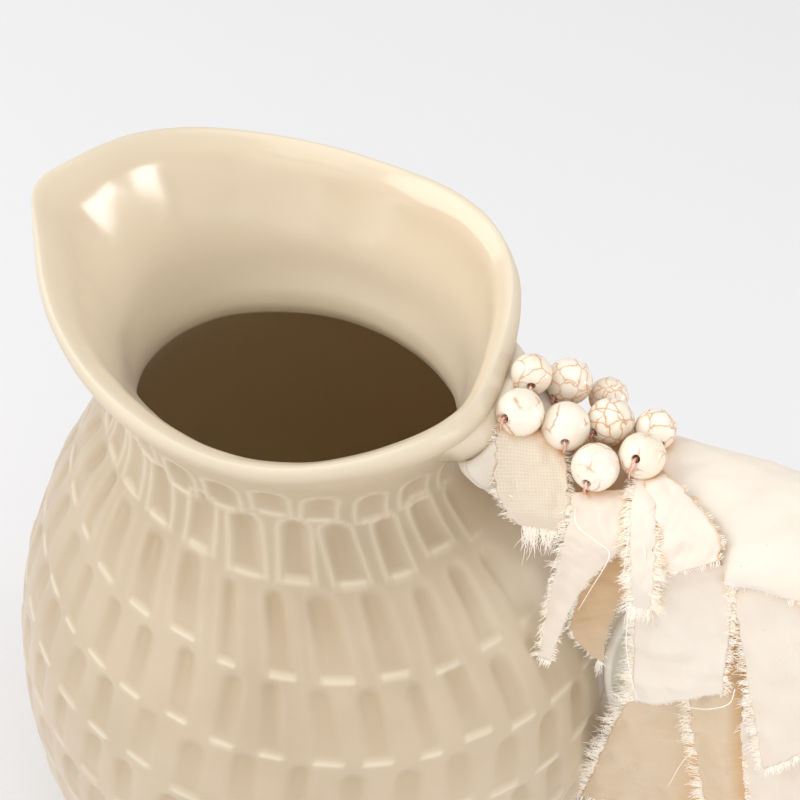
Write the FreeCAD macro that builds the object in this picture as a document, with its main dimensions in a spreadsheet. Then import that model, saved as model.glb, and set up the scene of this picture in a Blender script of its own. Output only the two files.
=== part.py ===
"""Thrown stoneware pitcher with a pinched spout, carved belly, pulled strap handle, torn cloth and beads.

The frame is in millimetres. The origin is the centre of the foot, +Z is up, the spout points along -X
and the handle leaves on the +X side, turned a few degrees towards -Y, which is the side that the
photograph looks at. Places on the handle are given by three words:
  along  the way out from the pot's axis, in the handle's own upright plane
  front  the way out of that plane, towards the viewer
  up     the height above the foot
"""
import FreeCAD, Part
import math
import os
from FreeCAD import Placement, Rotation, Vector

doc = FreeCAD.newDocument("pitcher")
sheet = doc.addObject("Spreadsheet::Sheet", "Sizes")

# Driving dimensions: alias, value, meaning
SIZES = (
    ("belly_radius", 77.5, "outer radius of the belly at its widest"),
    ("foot_radius", 50.0, "radius of the flat foot"),
    ("foot_bevel", 1.6, "wiped bevel round the foot"),
    ("wall", 4.6, "thickness of the thrown wall"),
    ("floor_thickness", 7.0, "clay left under the inside floor"),
    ("neck_height", 190.0, "height of the narrowest ring of the neck"),
    ("neck_length", 85.0, "outside length of the neck, spout to handle"),
    ("neck_width", 76.0, "outside width of the neck, side to side"),
    ("neck_shift", 12.0, "how far the neck leans towards the spout"),
    ("rim_height", 215.3, "height of the rim at the sides"),
    ("spout_rise", 15.7, "how far the spout tip stands above the sides of the rim"),
    ("shoulder_rise", 4.0, "lift of the rim beside the handle"),
    ("handle_notch", 2.3, "drop of the rim where the handle is luted on"),
    ("mouth_length", 112.5, "outside length of the mouth without the beak"),
    ("mouth_width", 104.6, "outside width of the mouth"),
    ("mouth_shift", 15.8, "how far the mouth's centre lies towards the spout"),
    ("handle_dent", 5.9, "how far the rim is pressed in where the handle meets it"),
    ("beak_reach", 4.0, "how far the pinched beak stands out of the mouth's oval"),
    ("beak_width", 22.0, "width of the pinch"),
    ("handle_turn", 8.0, "degrees that the handle's plane is turned towards the viewer"),
    ("handle_reach", 130.0, "from the pot's axis to the handle's furthest centre line"),
    ("handle_crest", 199.5, "height of the handle's centre line on its top run"),
    ("handle_foot", 90.0, "height where the handle comes back to the belly"),
    ("strap_width", 24.0, "width of the pulled strap on its top run"),
    ("strap_thickness", 11.2, "thickness of the strap on its top run"),
    ("wrap_thickness", 1.5, "cloth wound round the strap"),
    ("cloth_thickness", 0.8, "one layer of cloth with its fuzz"),
    ("gap", 0.3, "air between pieces that only lie on each other"),
    ("bead_diameter", 10.2, "the larger beads"),
    ("bore_diameter", 1.9, "hole through a bead"),
    ("wire_diameter", 0.8, "twisted copper wire"),
    ("wire_bend", 0.8, "radius of the wire's bend at a hole"),
    ("pendant_height", 76.0, "long way across the hanging oval"),
    ("pendant_width", 45.0, "short way across the oval"),
    ("pendant_thickness", 3.6, "thickness of the oval"),
    ("pendant_edge", 1.5, "rounding of the oval's edge"),
    ("pendant_hole", 3.4, "hole for its twine"),
    ("pendant_margin", 4.5, "from the top of the oval to the middle of its hole"),
    ("pendant_lean", 2.0, "degrees that the oval hangs askew"),
    ("pendant_swing_gap", 5.0, "air between the oval and the wound cloth above it"),
    ("twine_diameter", 1.2, "twine that the oval hangs on"),
)
sheet.set("A1", "alias")
sheet.set("B1", "value")
sheet.set("C1", "meaning")
for row, (alias, value, meaning) in enumerate(SIZES, start=2):
    sheet.set(f"A{row}", alias)
    sheet.set(f"B{row}", str(value))
    sheet.set(f"C{row}", meaning)
    sheet.setAlias(f"B{row}", alias)
doc.recompute()


def size(alias):
    """Driving dimension from the sheet, as a plain number."""
    return float(sheet.get(alias))


HALF = 0.5
WALL = size("wall")
GAP = size("gap")
CLOTH = size("cloth_thickness")
TURN = math.radians(size("handle_turn"))
OUT = Vector(math.cos(TURN), -math.sin(TURN), 0)
FRONT = Vector(-math.sin(TURN), -math.cos(TURN), 0)
UP = Vector(0, 0, 1)
NODES = []


def place(along, front, up):
    """Point given by its three words on the handle."""
    return OUT * along + FRONT * front + UP * up


def feature(name, shape):
    """Document object for a shape that was worked out here."""
    item = doc.addObject("Part::Feature", name)
    item.Shape = shape
    item.Label = name
    NODES.append(item)
    return item


def closed_curve(points):
    """Smooth closed wire through points."""
    curve = Part.BSplineCurve()
    curve.interpolate(Points=points, PeriodicFlag=True)
    return Part.Wire([curve.toShape()])


def largest(shape):
    """Largest solid of a shape that a cut left in pieces."""
    return sorted(shape.Solids, key=lambda solid: solid.Volume)[-1]


# Vessel: one thrown wall, pushed out of round at the neck and pinched to a spout at the rim.
# Each ring is the wall's edge at one level. The rings climb the outside, cross the lip and go
# down the inside to the floor, so that one skin makes the whole pot.

RING_POINTS = 36
TIP_CROWDING = 0.35
# Height as a share of the neck's height, radius as a share of the belly's radius
BELLY_SHARES = ((0.13, 0.80), (0.30, 0.93), (0.50, 1.0), (0.64, 0.985), (0.77, 0.905), (0.88, 0.735))
FLARE_SHARES = (0.35, 0.68, 0.93)
ROUND_BELOW_SHARE = 0.80
FLARE_POWER = 1.5
SPOUT_POWER = 3.6
NOTCH_POWER = 8
DENT_POWER = 8


def smooth(share):
    """Eases from 0 to 1 with flat ends."""
    share = min(max(share, 0.0), 1.0)
    return share * share * (3 - 2 * share)


def ring_angles():
    """Angles round a ring, 0 at the handle and half a turn at the spout, crowded at the spout's tip."""
    turns = [2 * math.pi * i / RING_POINTS for i in range(RING_POINTS)]
    return [turn + TIP_CROWDING * math.sin(turn) for turn in turns]


def rim_level(angle):
    """Height of the rim's crest: raised to the spout, lifted beside the handle, notched at the handle."""
    away = (1 - math.cos(angle)) * HALF
    level = size("rim_height") + size("spout_rise") * away ** SPOUT_POWER
    if math.cos(angle) > 0:
        level += size("shoulder_rise") * math.sin(2 * angle) ** 2
        level -= size("handle_notch") * math.cos(angle) ** NOTCH_POWER
    return level


def beak(angle):
    """Extra reach of the pinched beak, greatest at its tip."""
    off_tip = math.pi - abs(math.remainder(angle, 2 * math.pi))
    width = size("beak_width") / size("mouth_width")
    return size("beak_reach") * math.exp(-(off_tip / width) ** 2)


def belly_ring(height_share, radius_share, inset):
    """Ring of the belly, round low down and leaning to the neck's oval above the widest level."""
    rise = smooth((height_share - ROUND_BELOW_SHARE) / (1 - ROUND_BELOW_SHARE))
    radius = radius_share * size("belly_radius")
    oval = rise * rise
    half_length = radius + oval * (size("neck_length") - size("neck_width")) * HALF * HALF - inset
    half_width = radius - oval * (size("neck_length") - size("neck_width")) * HALF * HALF - inset
    shift = -size("neck_shift") * rise
    level = height_share * size("neck_height")
    return [Vector(shift + half_length * math.cos(a), half_width * math.sin(a), level)
            for a in ring_angles()]


def collar_ring(flare, inset):
    """Ring of the flared collar: flare 0 is the neck and flare 1 the rim's crest."""
    grow = flare ** FLARE_POWER
    half_length = (size("neck_length") + grow * (size("mouth_length") - size("neck_length"))) * HALF - inset
    half_width = (size("neck_width") + grow * (size("mouth_width") - size("neck_width"))) * HALF - inset
    shift = -(size("neck_shift") + grow * (size("mouth_shift") - size("neck_shift")))
    points = []
    for a in ring_angles():
        level = size("neck_height") + flare * (rim_level(a) - size("neck_height"))
        reach = grow * beak(a)
        if math.cos(a) > 0:
            reach += grow * size("handle_dent") * math.cos(a) ** DENT_POWER
        points.append(Vector(shift + half_length * math.cos(a) - reach, half_width * math.sin(a), level))
    return points


def circle_ring(radius, level):
    """Plain round ring."""
    return [Vector(radius * math.cos(a), radius * math.sin(a), level) for a in ring_angles()]


def vessel_rings():
    """Every ring of the pot, from the foot over the lip to the floor."""
    foot, bevel = size("foot_radius"), size("foot_bevel")
    rings = [circle_ring(foot - bevel, 0), circle_ring(foot, bevel)]
    rings += [belly_ring(up, out, 0) for up, out in BELLY_SHARES]
    rings += [collar_ring(0, 0)] + [collar_ring(flare, 0) for flare in FLARE_SHARES]
    rings += [collar_ring(1, WALL * HALF)]
    rings += [collar_ring(flare, WALL) for flare in reversed(FLARE_SHARES)] + [collar_ring(0, WALL)]
    rings += [belly_ring(up, out, WALL) for up, out in reversed(BELLY_SHARES)]
    floor = size("floor_thickness")
    rings += [circle_ring(foot, floor + 2 * WALL * HALF), circle_ring(foot - WALL, floor + bevel)]
    rings += [circle_ring(foot - 2 * WALL, floor)]
    return rings


vessel = feature("vessel", Part.makeLoft([closed_curve(ring) for ring in vessel_rings()], True, False))


# Handle: a pulled strap, wide where it is smeared over the rim, that dips, runs level under the
# cloth, turns down and comes back to the belly.

# Along as a share of the reach, up as a share of the way from the handle's foot to its crest,
# half width and half thickness as shares of half the strap's own
STRAP_SHARES = (
    (0.223, 1.041, 1.75, 1.10),
    (0.300, 0.982, 1.35, 1.04),
    (0.415, 0.941, 1.10, 1.00),
    (0.562, 0.954, 1.00, 1.00),
    (0.708, 0.991, 1.00, 1.00),
    (0.831, 0.995, 0.98, 0.98),
    (0.938, 0.904, 0.95, 0.95),
    (0.996, 0.712, 0.92, 0.92),
    (0.985, 0.484, 0.90, 0.90),
    (0.900, 0.265, 0.90, 0.88),
    (0.746, 0.082, 0.98, 0.88),
    (0.558, -0.027, 1.15, 0.95),
)
HANDLE_RISE = size("handle_crest") - size("handle_foot")
strap_points = [place(size("handle_reach") * along, 0, size("handle_foot") + HANDLE_RISE * up)
                for along, up, _, _ in STRAP_SHARES]
strap_path = Part.BSplineCurve()
strap_path.interpolate(strap_points)
strap_breadth = Part.BSplineCurve()
strap_ways = [strap_path.parameter(point) for point in strap_points]
strap_breadth.interpolate(
    Points=[Vector(wide, thick, way) for way, (_, _, wide, thick) in zip(strap_ways, STRAP_SHARES)],
    Parameters=strap_ways)
STRAP_SECTIONS = 30


def strap_at(along):
    """Parameter, point and direction of the handle's centre line at a distance out on its top run."""
    low, high = strap_path.FirstParameter, strap_path.parameter(strap_points[6])
    for _ in range(40):
        middle = (low + high) * HALF
        if strap_path.value(middle) * OUT < along:
            low = middle
        else:
            high = middle
    direction = strap_path.tangent(low)[0]
    return low, strap_path.value(low), direction


def oval_wire(centre, direction, half_width, half_thickness):
    """Oval across the handle: wide to the front, thin across the strap."""
    oval = Part.Ellipse(Vector(0, 0, 0), half_width, half_thickness)
    wire = Part.Wire([oval.toShape()])
    wire.Placement = Placement(centre, Rotation(FRONT, direction.cross(FRONT), direction, "ZXY"))
    return wire


def strap_half_sizes(parameter):
    """Half width and half thickness of the strap at a parameter of its centre line."""
    shares = strap_breadth.value(parameter)
    return shares.x * size("strap_width") * HALF, shares.y * size("strap_thickness") * HALF


first, last = strap_path.FirstParameter, strap_path.LastParameter
strap_wires = []
for i in range(STRAP_SECTIONS + 1):
    parameter = first + (last - first) * i / STRAP_SECTIONS
    strap_wires.append(oval_wire(strap_path.value(parameter), strap_path.tangent(parameter)[0],
                                 *strap_half_sizes(parameter)))
strap = Part.makeLoft(strap_wires, True, False)
feature("handle", largest(strap.cut(vessel.Shape)))


# Cloth wound round the strap: a smooth band at the root and a rough sleeve beyond it.

def sleeve(start, end, inner_skin, thickness, stations=7):
    """Tube of cloth round the strap between two distances out."""
    skins = []
    for offset in (inner_skin, inner_skin + thickness):
        wires = []
        for i in range(stations):
            along = start + (end - start) * i / (stations - 1)
            parameter, centre, direction = strap_at(along)
            half_width, half_thickness = strap_half_sizes(parameter)
            wires.append(oval_wire(centre, direction, half_width + offset, half_thickness + offset))
        skins.append(Part.makeLoft(wires, True, False))
    return skins[1].cut(skins[0])


REACH = size("handle_reach")
HALF_STRAP = size("strap_width") * HALF
WRAP = size("wrap_thickness")
BAND_SHARES = (0.27, 0.355)
SLEEVE_SHARES = (0.358, 0.87)
band = sleeve(REACH * BAND_SHARES[0], REACH * BAND_SHARES[1], GAP, CLOTH * HALF, 4)
feature("wrap_band", largest(band.cut(vessel.Shape)))
feature("wrap_sleeve", sleeve(REACH * SLEEVE_SHARES[0], REACH * SLEEVE_SHARES[1], GAP, WRAP))


# Beads: round, drilled, each threaded on its own stitch of copper wire on top of the wound cloth.

# Name, along as a share of the reach, lean over the front in degrees, diameter as a share of the
# larger beads', turn and tilt of the bore in degrees
BEADS = (
    ("bead_1", 0.304, -14.3, 0.882, 18.4, 9.8),
    ("bead_2", 0.361, -29.4, 1.0, -18.2, -16.8),
    ("bead_3", 0.317, 13.1, 1.0, -24.7, 16.8),
    ("bead_4", 0.392, 5.8, 1.02, 17.5, 5.7),
    ("bead_5", 0.455, -12.0, 1.0, -26.6, 0.0),
    ("bead_6", 0.428, -47.9, 0.863, -6.9, 0.0),
    ("bead_7", 0.464, 23.9, 1.0, -2.2, 0.0),
    ("bead_8", 0.528, 7.2, 0.98, -9.1, 34.8),
    ("bead_9", 0.528, -20.8, 0.882, 33.5, 0.0),
)
WIRE_RADIUS = size("wire_diameter") * HALF
STITCH_END_DEGREES = 84


def stitch_radius(bead_radius):
    """Radius of the wire's centre line where it hugs a bead, so that its bend starts outside the bore."""
    bend = size("wire_bend")
    return bend + math.hypot(bead_radius, bend)


def bead_seat(along, lean, bead_radius):
    """Centre of a bead that rides on its wire over the cloth, and the way down to the cloth."""
    parameter, centre, _ = strap_at(along)
    half_width, half_thickness = strap_half_sizes(parameter)
    skin = GAP + WRAP
    ride = stitch_radius(bead_radius) + WIRE_RADIUS + GAP
    wide, thick = half_width + skin + ride, half_thickness + skin + ride
    angle = math.radians(lean)
    seat = centre + FRONT * (wide * math.sin(angle)) + UP * (thick * math.cos(angle))
    down = -(FRONT * (math.sin(angle) / wide) + UP * (math.cos(angle) / thick))
    return seat, down.normalize()


def bore_direction(turn, tilt):
    """Direction of a bore from its turn and tilt."""
    turn, tilt = math.radians(turn), math.radians(tilt)
    level = FRONT * math.cos(turn) + OUT * math.sin(turn)
    return level * math.cos(tilt) + UP * math.sin(tilt)


def stitch(seat, down, bore, bead_radius):
    """Two halves of a wire loop: through the bore, round each side of the bead, open at the cloth."""
    bend = size("wire_bend")
    hug = stitch_radius(bead_radius)
    side = (down - bore * down.dot(bore)).normalize()
    reach = math.sqrt((hug - bend) ** 2 - bend ** 2)

    def at(x, y):
        return seat + bore * x + side * y

    def on_circle(degrees, centre_x, centre_y, radius):
        angle = math.radians(degrees)
        return at(centre_x + radius * math.cos(angle), centre_y + radius * math.sin(angle))

    meet = math.degrees(math.atan2(bend, reach))
    edges = []
    last = None
    for sign in (-1, 1):
        def mirror(degrees):
            return degrees if sign > 0 else 180 - degrees
        corner = [on_circle(mirror(d), sign * reach, bend, bend) for d in (-90, (meet - 90) * HALF, meet)]
        hugging = [on_circle(mirror(d), 0, 0, hug)
                   for d in (meet, (meet + STITCH_END_DEGREES) * HALF, STITCH_END_DEGREES)]
        half = [Part.Arc(*corner).toShape(), Part.Arc(*hugging).toShape()]
        if sign < 0:
            edges = [half[1], half[0]]
            last = corner[0]
            start = hugging[2]
            heading = (hugging[2] - hugging[1]).normalize()
        else:
            edges += [Part.LineSegment(last, corner[0]).toShape()] + half
    path = Part.Wire(Part.__sortEdges__(edges))
    angle = math.radians(180 - STITCH_END_DEGREES)
    heading = bore * -math.sin(angle) + side * math.cos(angle)
    section = Part.Wire([Part.makeCircle(WIRE_RADIUS, start, heading)])
    return path.makePipeShell([section], True, False)


stitches = []
for name, along_share, lean, size_share, turn, tilt in BEADS:
    diameter = size("bead_diameter") * size_share
    seat, down = bead_seat(REACH * along_share, lean, diameter * HALF)
    bore = bore_direction(turn, tilt)
    ball = doc.addObject("Part::Sphere", f"{name}_ball")
    ball.setExpression("Radius", f"Sizes.bead_diameter * {size_share} / 2")
    drill = doc.addObject("Part::Cylinder", f"{name}_drill")
    drill.setExpression("Radius", "Sizes.bore_diameter / 2")
    drill.setExpression("Height", "Sizes.bead_diameter * 2")
    drill.setExpression("Placement.Base.z", "-Sizes.bead_diameter")
    bead = doc.addObject("Part::Cut", name)
    bead.Base, bead.Tool = ball, drill
    bead.Placement = Placement(seat, Rotation(Vector(0, 0, 1), bore))
    bead.Label = name
    NODES.append(bead)
    stitches.append(stitch(seat, down, bore, diameter * HALF))
feature("bead_wire", Part.makeCompound(stitches))


# Hanging cloth: each strip is a band of cloth between a left and a right edge, lofted through its
# stations from the top down, with shallow folds bulging to the front and back in turn.

# Stations as shares: left along and up, right along and up, left and right lift, fold depth. Along is
# a share of the reach, up of the crest, lift and fold of half the strap's width. The lift is how far
# the cloth's front face stands off the wound cloth's front.
STRIPS = {
    "strip_low": (2, (
        (0.60, 0.965, 0.74, 0.975, 0.10, 0.10, 0.0), (0.635, 0.80, 0.765, 0.81, 0.19, 0.19, 0.06),
        (0.614, 0.64, 0.79, 0.65, 0.22, 0.22, 0.08), (0.593, 0.488, 0.815, 0.51, 0.22, 0.22, 0.08))),
    "strip_low_right": (2, (
        (0.775, 0.975, 0.88, 0.965, 0.10, 0.10, 0.0), (0.825, 0.76, 0.935, 0.78, 0.22, 0.22, 0.06),
        (0.891, 0.545, 1.0, 0.60, 0.24, 0.24, 0.06))),
    "tail_back": (1, (
        (0.505, 0.965, 0.585, 0.965, 0.10, 0.10, 0.0), (0.51, 0.845, 0.60, 0.82, 0.18, -0.05, 0.05),
        (0.578, 0.685, 0.612, 0.68, 0.06, 0.0, 0.04))),
    "strip_low_mid": (1, (
        (0.685, 0.97, 0.78, 0.975, 0.19, 0.19, 0.0), (0.735, 0.75, 0.825, 0.76, 0.36, 0.36, 0.05),
        (0.82, 0.57, 0.892, 0.58, 0.38, 0.38, 0.05))),
    "tail_twisted": (1, (
        (0.485, 0.98, 0.58, 0.985, 0.20, 0.20, 0.0), (0.468, 0.88, 0.534, 0.905, 0.42, 0.34, 0.06),
        (0.468, 0.79, 0.487, 0.785, 0.90, 0.90, 0.02))),
    "wrap_end": (1, (
        (0.31, 1.013, 0.42, 0.998, -0.32, -0.27, 0.0), (0.32, 0.985, 0.43, 0.978, 0.11, 0.11, 0.02),
        (0.372, 0.94, 0.46, 0.94, 0.22, 0.24, 0.04))),
    "strip_front": (1, (
        (0.59, 0.965, 0.735, 0.972, 0.29, 0.29, 0.012), (0.605, 0.87, 0.765, 0.92, 0.46, 0.46, 0.06),
        (0.641, 0.735, 0.791, 0.808, 0.54, 0.54, 0.03))),
    "strip_side": (1, (
        (0.745, 0.975, 0.865, 0.98, 0.29, 0.29, 0.012), (0.795, 0.87, 0.91, 0.90, 0.48, 0.48, 0.06),
        (0.889, 0.71, 0.96, 0.775, 0.53, 0.53, 0.03))),
    "knot_tail": (1, (
        (0.535, 1.01, 0.575, 1.01, 0.30, 0.30, 0.02), (0.555, 0.955, 0.59, 0.96, 0.40, 0.40, 0.03),
        (0.57, 0.885, 0.59, 0.89, 0.44, 0.44, 0.02))),
    "flap_loop": (1, (
        (0.60, 1.018, 0.66, 1.022, 0.26, 0.26, 0.02), (0.628, 0.99, 0.71, 0.99, 0.58, 0.58, 0.10),
        (0.66, 0.967, 0.715, 0.97, 0.55, 0.55, 0.04))),
}


def band_section(left, right, folds, depth, thickness):
    """Closed section of a band between two points: front arcs, one per fold, and back arcs behind them."""
    step = (right - left) * (1.0 / folds)
    rows = []
    for shift in (Vector(0, 0, 0), FRONT * -thickness):
        row = []
        for i in range(folds):
            begin = left + step * i + shift
            end = begin + step
            bulge = depth * (1 if i % 2 == 0 else -1)
            if abs(depth) > 0:
                row.append(Part.Arc(begin, (begin + end) * HALF + FRONT * bulge, end).toShape())
            else:
                row.append(Part.LineSegment(begin, end).toShape())
        rows.append(row)
    ends = [Part.LineSegment(left, left - FRONT * thickness).toShape(),
            Part.LineSegment(right, right - FRONT * thickness).toShape()]
    return Part.Wire(Part.__sortEdges__(rows[0] + [ends[1]] + rows[1] + [ends[0]]))


def hang_point(along_share, up_share, lift_share):
    """Point on a strip's edge, measured off the front of the wound cloth."""
    along = REACH * along_share
    half_width, _ = strap_half_sizes(strap_at(along)[0])
    front = half_width + GAP + WRAP + HALF_STRAP * lift_share
    return place(along, front, size("handle_crest") * up_share)


LEAST_FOLD_SHARE = 0.012
for name, (folds, stations) in STRIPS.items():
    sections = []
    for left_along, left_up, right_along, right_up, left_lift, right_lift, fold in stations:
        left = hang_point(left_along, left_up, left_lift)
        right = hang_point(right_along, right_up, right_lift)
        depth = HALF_STRAP * max(fold, LEAST_FOLD_SHARE)
        sections.append(band_section(left, right, folds, depth, CLOTH))
    feature(name, Part.makeLoft(sections, True, False))


# Cloth laid over the handle: a band whose section across the handle is an arch, from its front hem
# over the top to its back hem.

QUARTER_STOPS = (0, 22.5, 45, 67.5, 90)
ARCH_AIR_SHARE = 1.6


def arch_section(station, skin, front_lift):
    """Edges of one skin of the arch from its front hem over the crown to its back hem, and its hem points."""
    crown_share, skew, front_up, back_up = station
    parameter, crown, direction = strap_at(REACH * crown_share)
    half_width, half_thickness = strap_half_sizes(parameter)
    edges, hems = [], []
    for sign, hem, lift in ((1, front_up, front_lift), (-1, back_up, 0)):
        wide, tall = half_width + skin + lift, (half_thickness + skin) / (direction * OUT)
        stops = []
        for stop in QUARTER_STOPS:
            angle = math.radians(stop)
            across = sign * wide * math.sin(angle)
            along = crown * OUT + skew * across
            level = strap_at(along)[1].z + tall * math.cos(angle)
            stops.append(place(along, across, level))
        low = Vector(stops[4].x, stops[4].y, size("handle_crest") * hem)
        edges += [Part.Arc(*stops[:3]).toShape(), Part.Arc(*stops[2:]).toShape(),
                  Part.LineSegment(stops[4], low).toShape()]
        hems.append(low)
    return edges, hems


def saddle(stations, front_lift):
    """Arch of cloth over the sleeve, lofted outwards through its stations.

    A station gives the share along of the crown, the skew of the cloth (how far along it runs for each
    step to the front) and the shares up of the front and back hems. The front lift carries the arch
    over the strips that are tucked in under it."""
    sections = []
    for station in stations:
        skin = GAP + WRAP + GAP * ARCH_AIR_SHARE
        inner, inner_hems = arch_section(station, skin, front_lift)
        outer, outer_hems = arch_section(station, skin + CLOTH, front_lift)
        closing = [Part.LineSegment(a, b).toShape() for a, b in zip(inner_hems, outer_hems)]
        sections.append(Part.Wire(Part.__sortEdges__(inner + outer + closing)))
    return Part.makeLoft(sections, True, False)


# Crown along, skew, front hem up, back hem up
OVER_STATIONS = ((0.605, 0.42, 0.955, 0.87), (0.725, 0.15, 0.955, 0.84), (0.84, 0.05, 0.97, 0.82))
OVER_LIFT_SHARE = 0.36
feature("strip_over", saddle(OVER_STATIONS, HALF_STRAP * OVER_LIFT_SHARE))


# Pendant: a glazed clay oval that hangs askew under the handle on a loop of twine.

PENDANT_ALONG_SHARE = 0.722
PENDANT_FRONT_SHARE = 0.83
pendant_along, pendant_front = REACH * PENDANT_ALONG_SHARE, HALF_STRAP * PENDANT_FRONT_SHARE
half_height, half_thick = size("pendant_height") * HALF, size("pendant_thickness") * HALF
lean = math.radians(size("pendant_lean"))
parameter, under_centre, _ = strap_at(pendant_along)
under_wide, under_tall = [half + GAP + WRAP for half in strap_half_sizes(parameter)]
top_level = under_centre.z - under_tall - size("pendant_swing_gap")
long_way = (UP * math.cos(lean) - OUT * math.sin(lean)).normalize()
oval_middle = place(pendant_along, pendant_front, top_level) - long_way * half_height

outline = doc.addObject("Part::Ellipse", "pendant_outline")
outline.setExpression("MajorRadius", "Sizes.pendant_height / 2")
outline.setExpression("MinorRadius", "Sizes.pendant_width / 2")
slab = doc.addObject("Part::Extrusion", "pendant_slab")
slab.Base = outline
slab.DirMode = "Custom"
slab.Dir = Vector(0, 0, 1)
slab.setExpression("LengthFwd", "Sizes.pendant_thickness")
slab.Solid = True
doc.recompute()
rounded = doc.addObject("Part::Fillet", "pendant_rounded")
rounded.Base = slab
rounded.Edges = [(number, size("pendant_edge"), size("pendant_edge"))
                 for number, edge in enumerate(slab.Shape.Edges, start=1)
                 if edge.Curve.TypeId == "Part::GeomEllipse"]
punch = doc.addObject("Part::Cylinder", "pendant_punch")
punch.setExpression("Radius", "Sizes.pendant_hole / 2")
punch.setExpression("Height", "Sizes.pendant_thickness * 3")
punch.setExpression("Placement.Base.x", "Sizes.pendant_height / 2 - Sizes.pendant_margin")
punch.setExpression("Placement.Base.z", "-Sizes.pendant_thickness")
pendant = doc.addObject("Part::Cut", "pendant")
pendant.Base, pendant.Tool = rounded, punch
pendant.Placement = Placement(oval_middle - FRONT * half_thick,
                              Rotation(long_way, FRONT.cross(long_way), FRONT, "ZXY"))
pendant.Label = "pendant"
NODES.append(pendant)

# The twine is an upright loop through the hole, sewn to the underside of the wound cloth
twine_radius = size("twine_diameter") * HALF
loop_half = half_thick + GAP + GAP + twine_radius
loop_outside = loop_half + twine_radius
hole = oval_middle + long_way * (half_height - size("pendant_margin"))
loop_low = hole + UP * (loop_half - GAP)


def cloth_underside(front):
    """Level of the wound cloth's underside at a distance to the front."""
    return under_centre.z - under_tall * math.sqrt(1 - (front / under_wide) ** 2)


room = [cloth_underside(pendant_front + loop_outside * math.cos(math.radians(d)))
        - loop_outside * math.sin(math.radians(d)) for d in range(0, 181, 15)]
loop_high = Vector(loop_low.x, loop_low.y, min(room) - GAP)


def loop_point(centre, degrees):
    """Point of a round end of the twine's loop."""
    angle = math.radians(degrees)
    return centre + FRONT * (loop_half * math.cos(angle)) + UP * (loop_half * math.sin(angle))


loop_edges = [
    Part.Arc(*[loop_point(loop_high, d) for d in (0, 90, 180)]).toShape(),
    Part.LineSegment(loop_point(loop_high, 180), loop_point(loop_low, 180)).toShape(),
    Part.Arc(*[loop_point(loop_low, d) for d in (180, 270, 360)]).toShape(),
    Part.LineSegment(loop_point(loop_low, 0), loop_point(loop_high, 0)).toShape(),
]
loop_section = Part.Wire([Part.makeCircle(twine_radius, loop_point(loop_high, 0), UP)])
feature("pendant_twine", Part.Wire(loop_edges).makePipeShell([loop_section], True, False))

doc.recompute()

# Every object is sound before anything is written
for item in doc.Objects:
    if "Invalid" in item.State or "Error" in item.State:
        raise RuntimeError(f"{item.Name} failed: {item.State}")
os.makedirs("parts", exist_ok=True)
for item in NODES:
    shape = item.Shape
    if shape.isNull() or not shape.isValid():
        raise RuntimeError(f"{item.Label} has no sound shape")
    shape.exportStep(os.path.join("parts", f"{item.Label}.step"))
    box = shape.BoundBox
    spans = ((box.XMin, box.XMax), (box.YMin, box.YMax), (box.ZMin, box.ZMax))
    print(f"{item.Label}: {len(shape.Solids)} solid(s), {shape.Volume:.0f} mm3, "
          + ", ".join(f"{low:.0f}..{high:.0f}" for low, high in spans))
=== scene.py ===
# %% [markdown]
# # A glazed pitcher with a dressed handle
#
# The object is a hand-thrown pitcher with a pinched spout. Its belly is carved with rows of short slots. Its
# strap handle is wound in torn cotton, with a cluster of crackled stone beads wired on and a glazed tag that
# hangs behind the torn strips. Each cell below makes one piece or one finish. Shapes are worked out as whole
# arrays of points in millimetres, and are put into meshes in metres.
#
# Three ways are shared by all pieces. OUT runs out along the handle, FRONT points from the handle's plane to
# the side that the camera sees, and UP is up.

import math

import bmesh
import bpy
import numpy as np
from mathutils import Matrix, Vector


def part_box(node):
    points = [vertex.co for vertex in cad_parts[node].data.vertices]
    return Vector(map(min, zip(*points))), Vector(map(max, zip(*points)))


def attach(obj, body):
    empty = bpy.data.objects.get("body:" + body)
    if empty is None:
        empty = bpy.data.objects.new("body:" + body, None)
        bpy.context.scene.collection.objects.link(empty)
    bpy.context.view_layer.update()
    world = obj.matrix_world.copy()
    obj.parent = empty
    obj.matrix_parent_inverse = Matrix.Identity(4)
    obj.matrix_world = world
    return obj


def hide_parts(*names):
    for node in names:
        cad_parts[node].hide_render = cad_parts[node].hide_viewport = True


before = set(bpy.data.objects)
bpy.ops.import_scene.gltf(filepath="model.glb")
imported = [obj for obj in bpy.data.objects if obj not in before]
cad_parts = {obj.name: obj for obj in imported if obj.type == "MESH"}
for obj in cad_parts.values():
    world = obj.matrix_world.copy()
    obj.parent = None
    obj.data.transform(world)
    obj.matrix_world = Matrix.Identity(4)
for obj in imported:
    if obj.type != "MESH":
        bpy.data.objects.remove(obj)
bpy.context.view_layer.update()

MM = 0.001
TURN = math.radians(8)  # the handle's plane is turned this far towards the camera
OUT = np.array([math.cos(TURN), -math.sin(TURN), 0.0])
FRONT = np.array([-math.sin(TURN), -math.cos(TURN), 0.0])
UP = np.array([0.0, 0.0, 1.0])
print("out along the handle:", OUT.round(3), "to its front:", FRONT.round(3))

# %% [markdown]
# ## Small tools for curves, grids and softness
#
# A potter's shape has no straight lines. Such an outline could be a curve object with handles, but then it
# can't be worked with as numbers. So every outline here is a row of stations with a smooth curve through
# them, and every surface is a grid of such curves. A soft random field, made from a few sine waves, gives the
# small unevenness of hand work. It is seeded, so each run gives the same pitcher.

# %% Curve and noise tools


def ease(share):
    """Smooth step: 3x^2 - 2x^3 of the share, held between 0 and 1."""
    share = np.clip(share, 0, 1)
    return share * share * (3 - 2 * share)


def unit(vectors):
    """Each vector divided by its own length."""
    return vectors / np.maximum(np.linalg.norm(vectors, axis=-1, keepdims=True), 1e-12)


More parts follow.
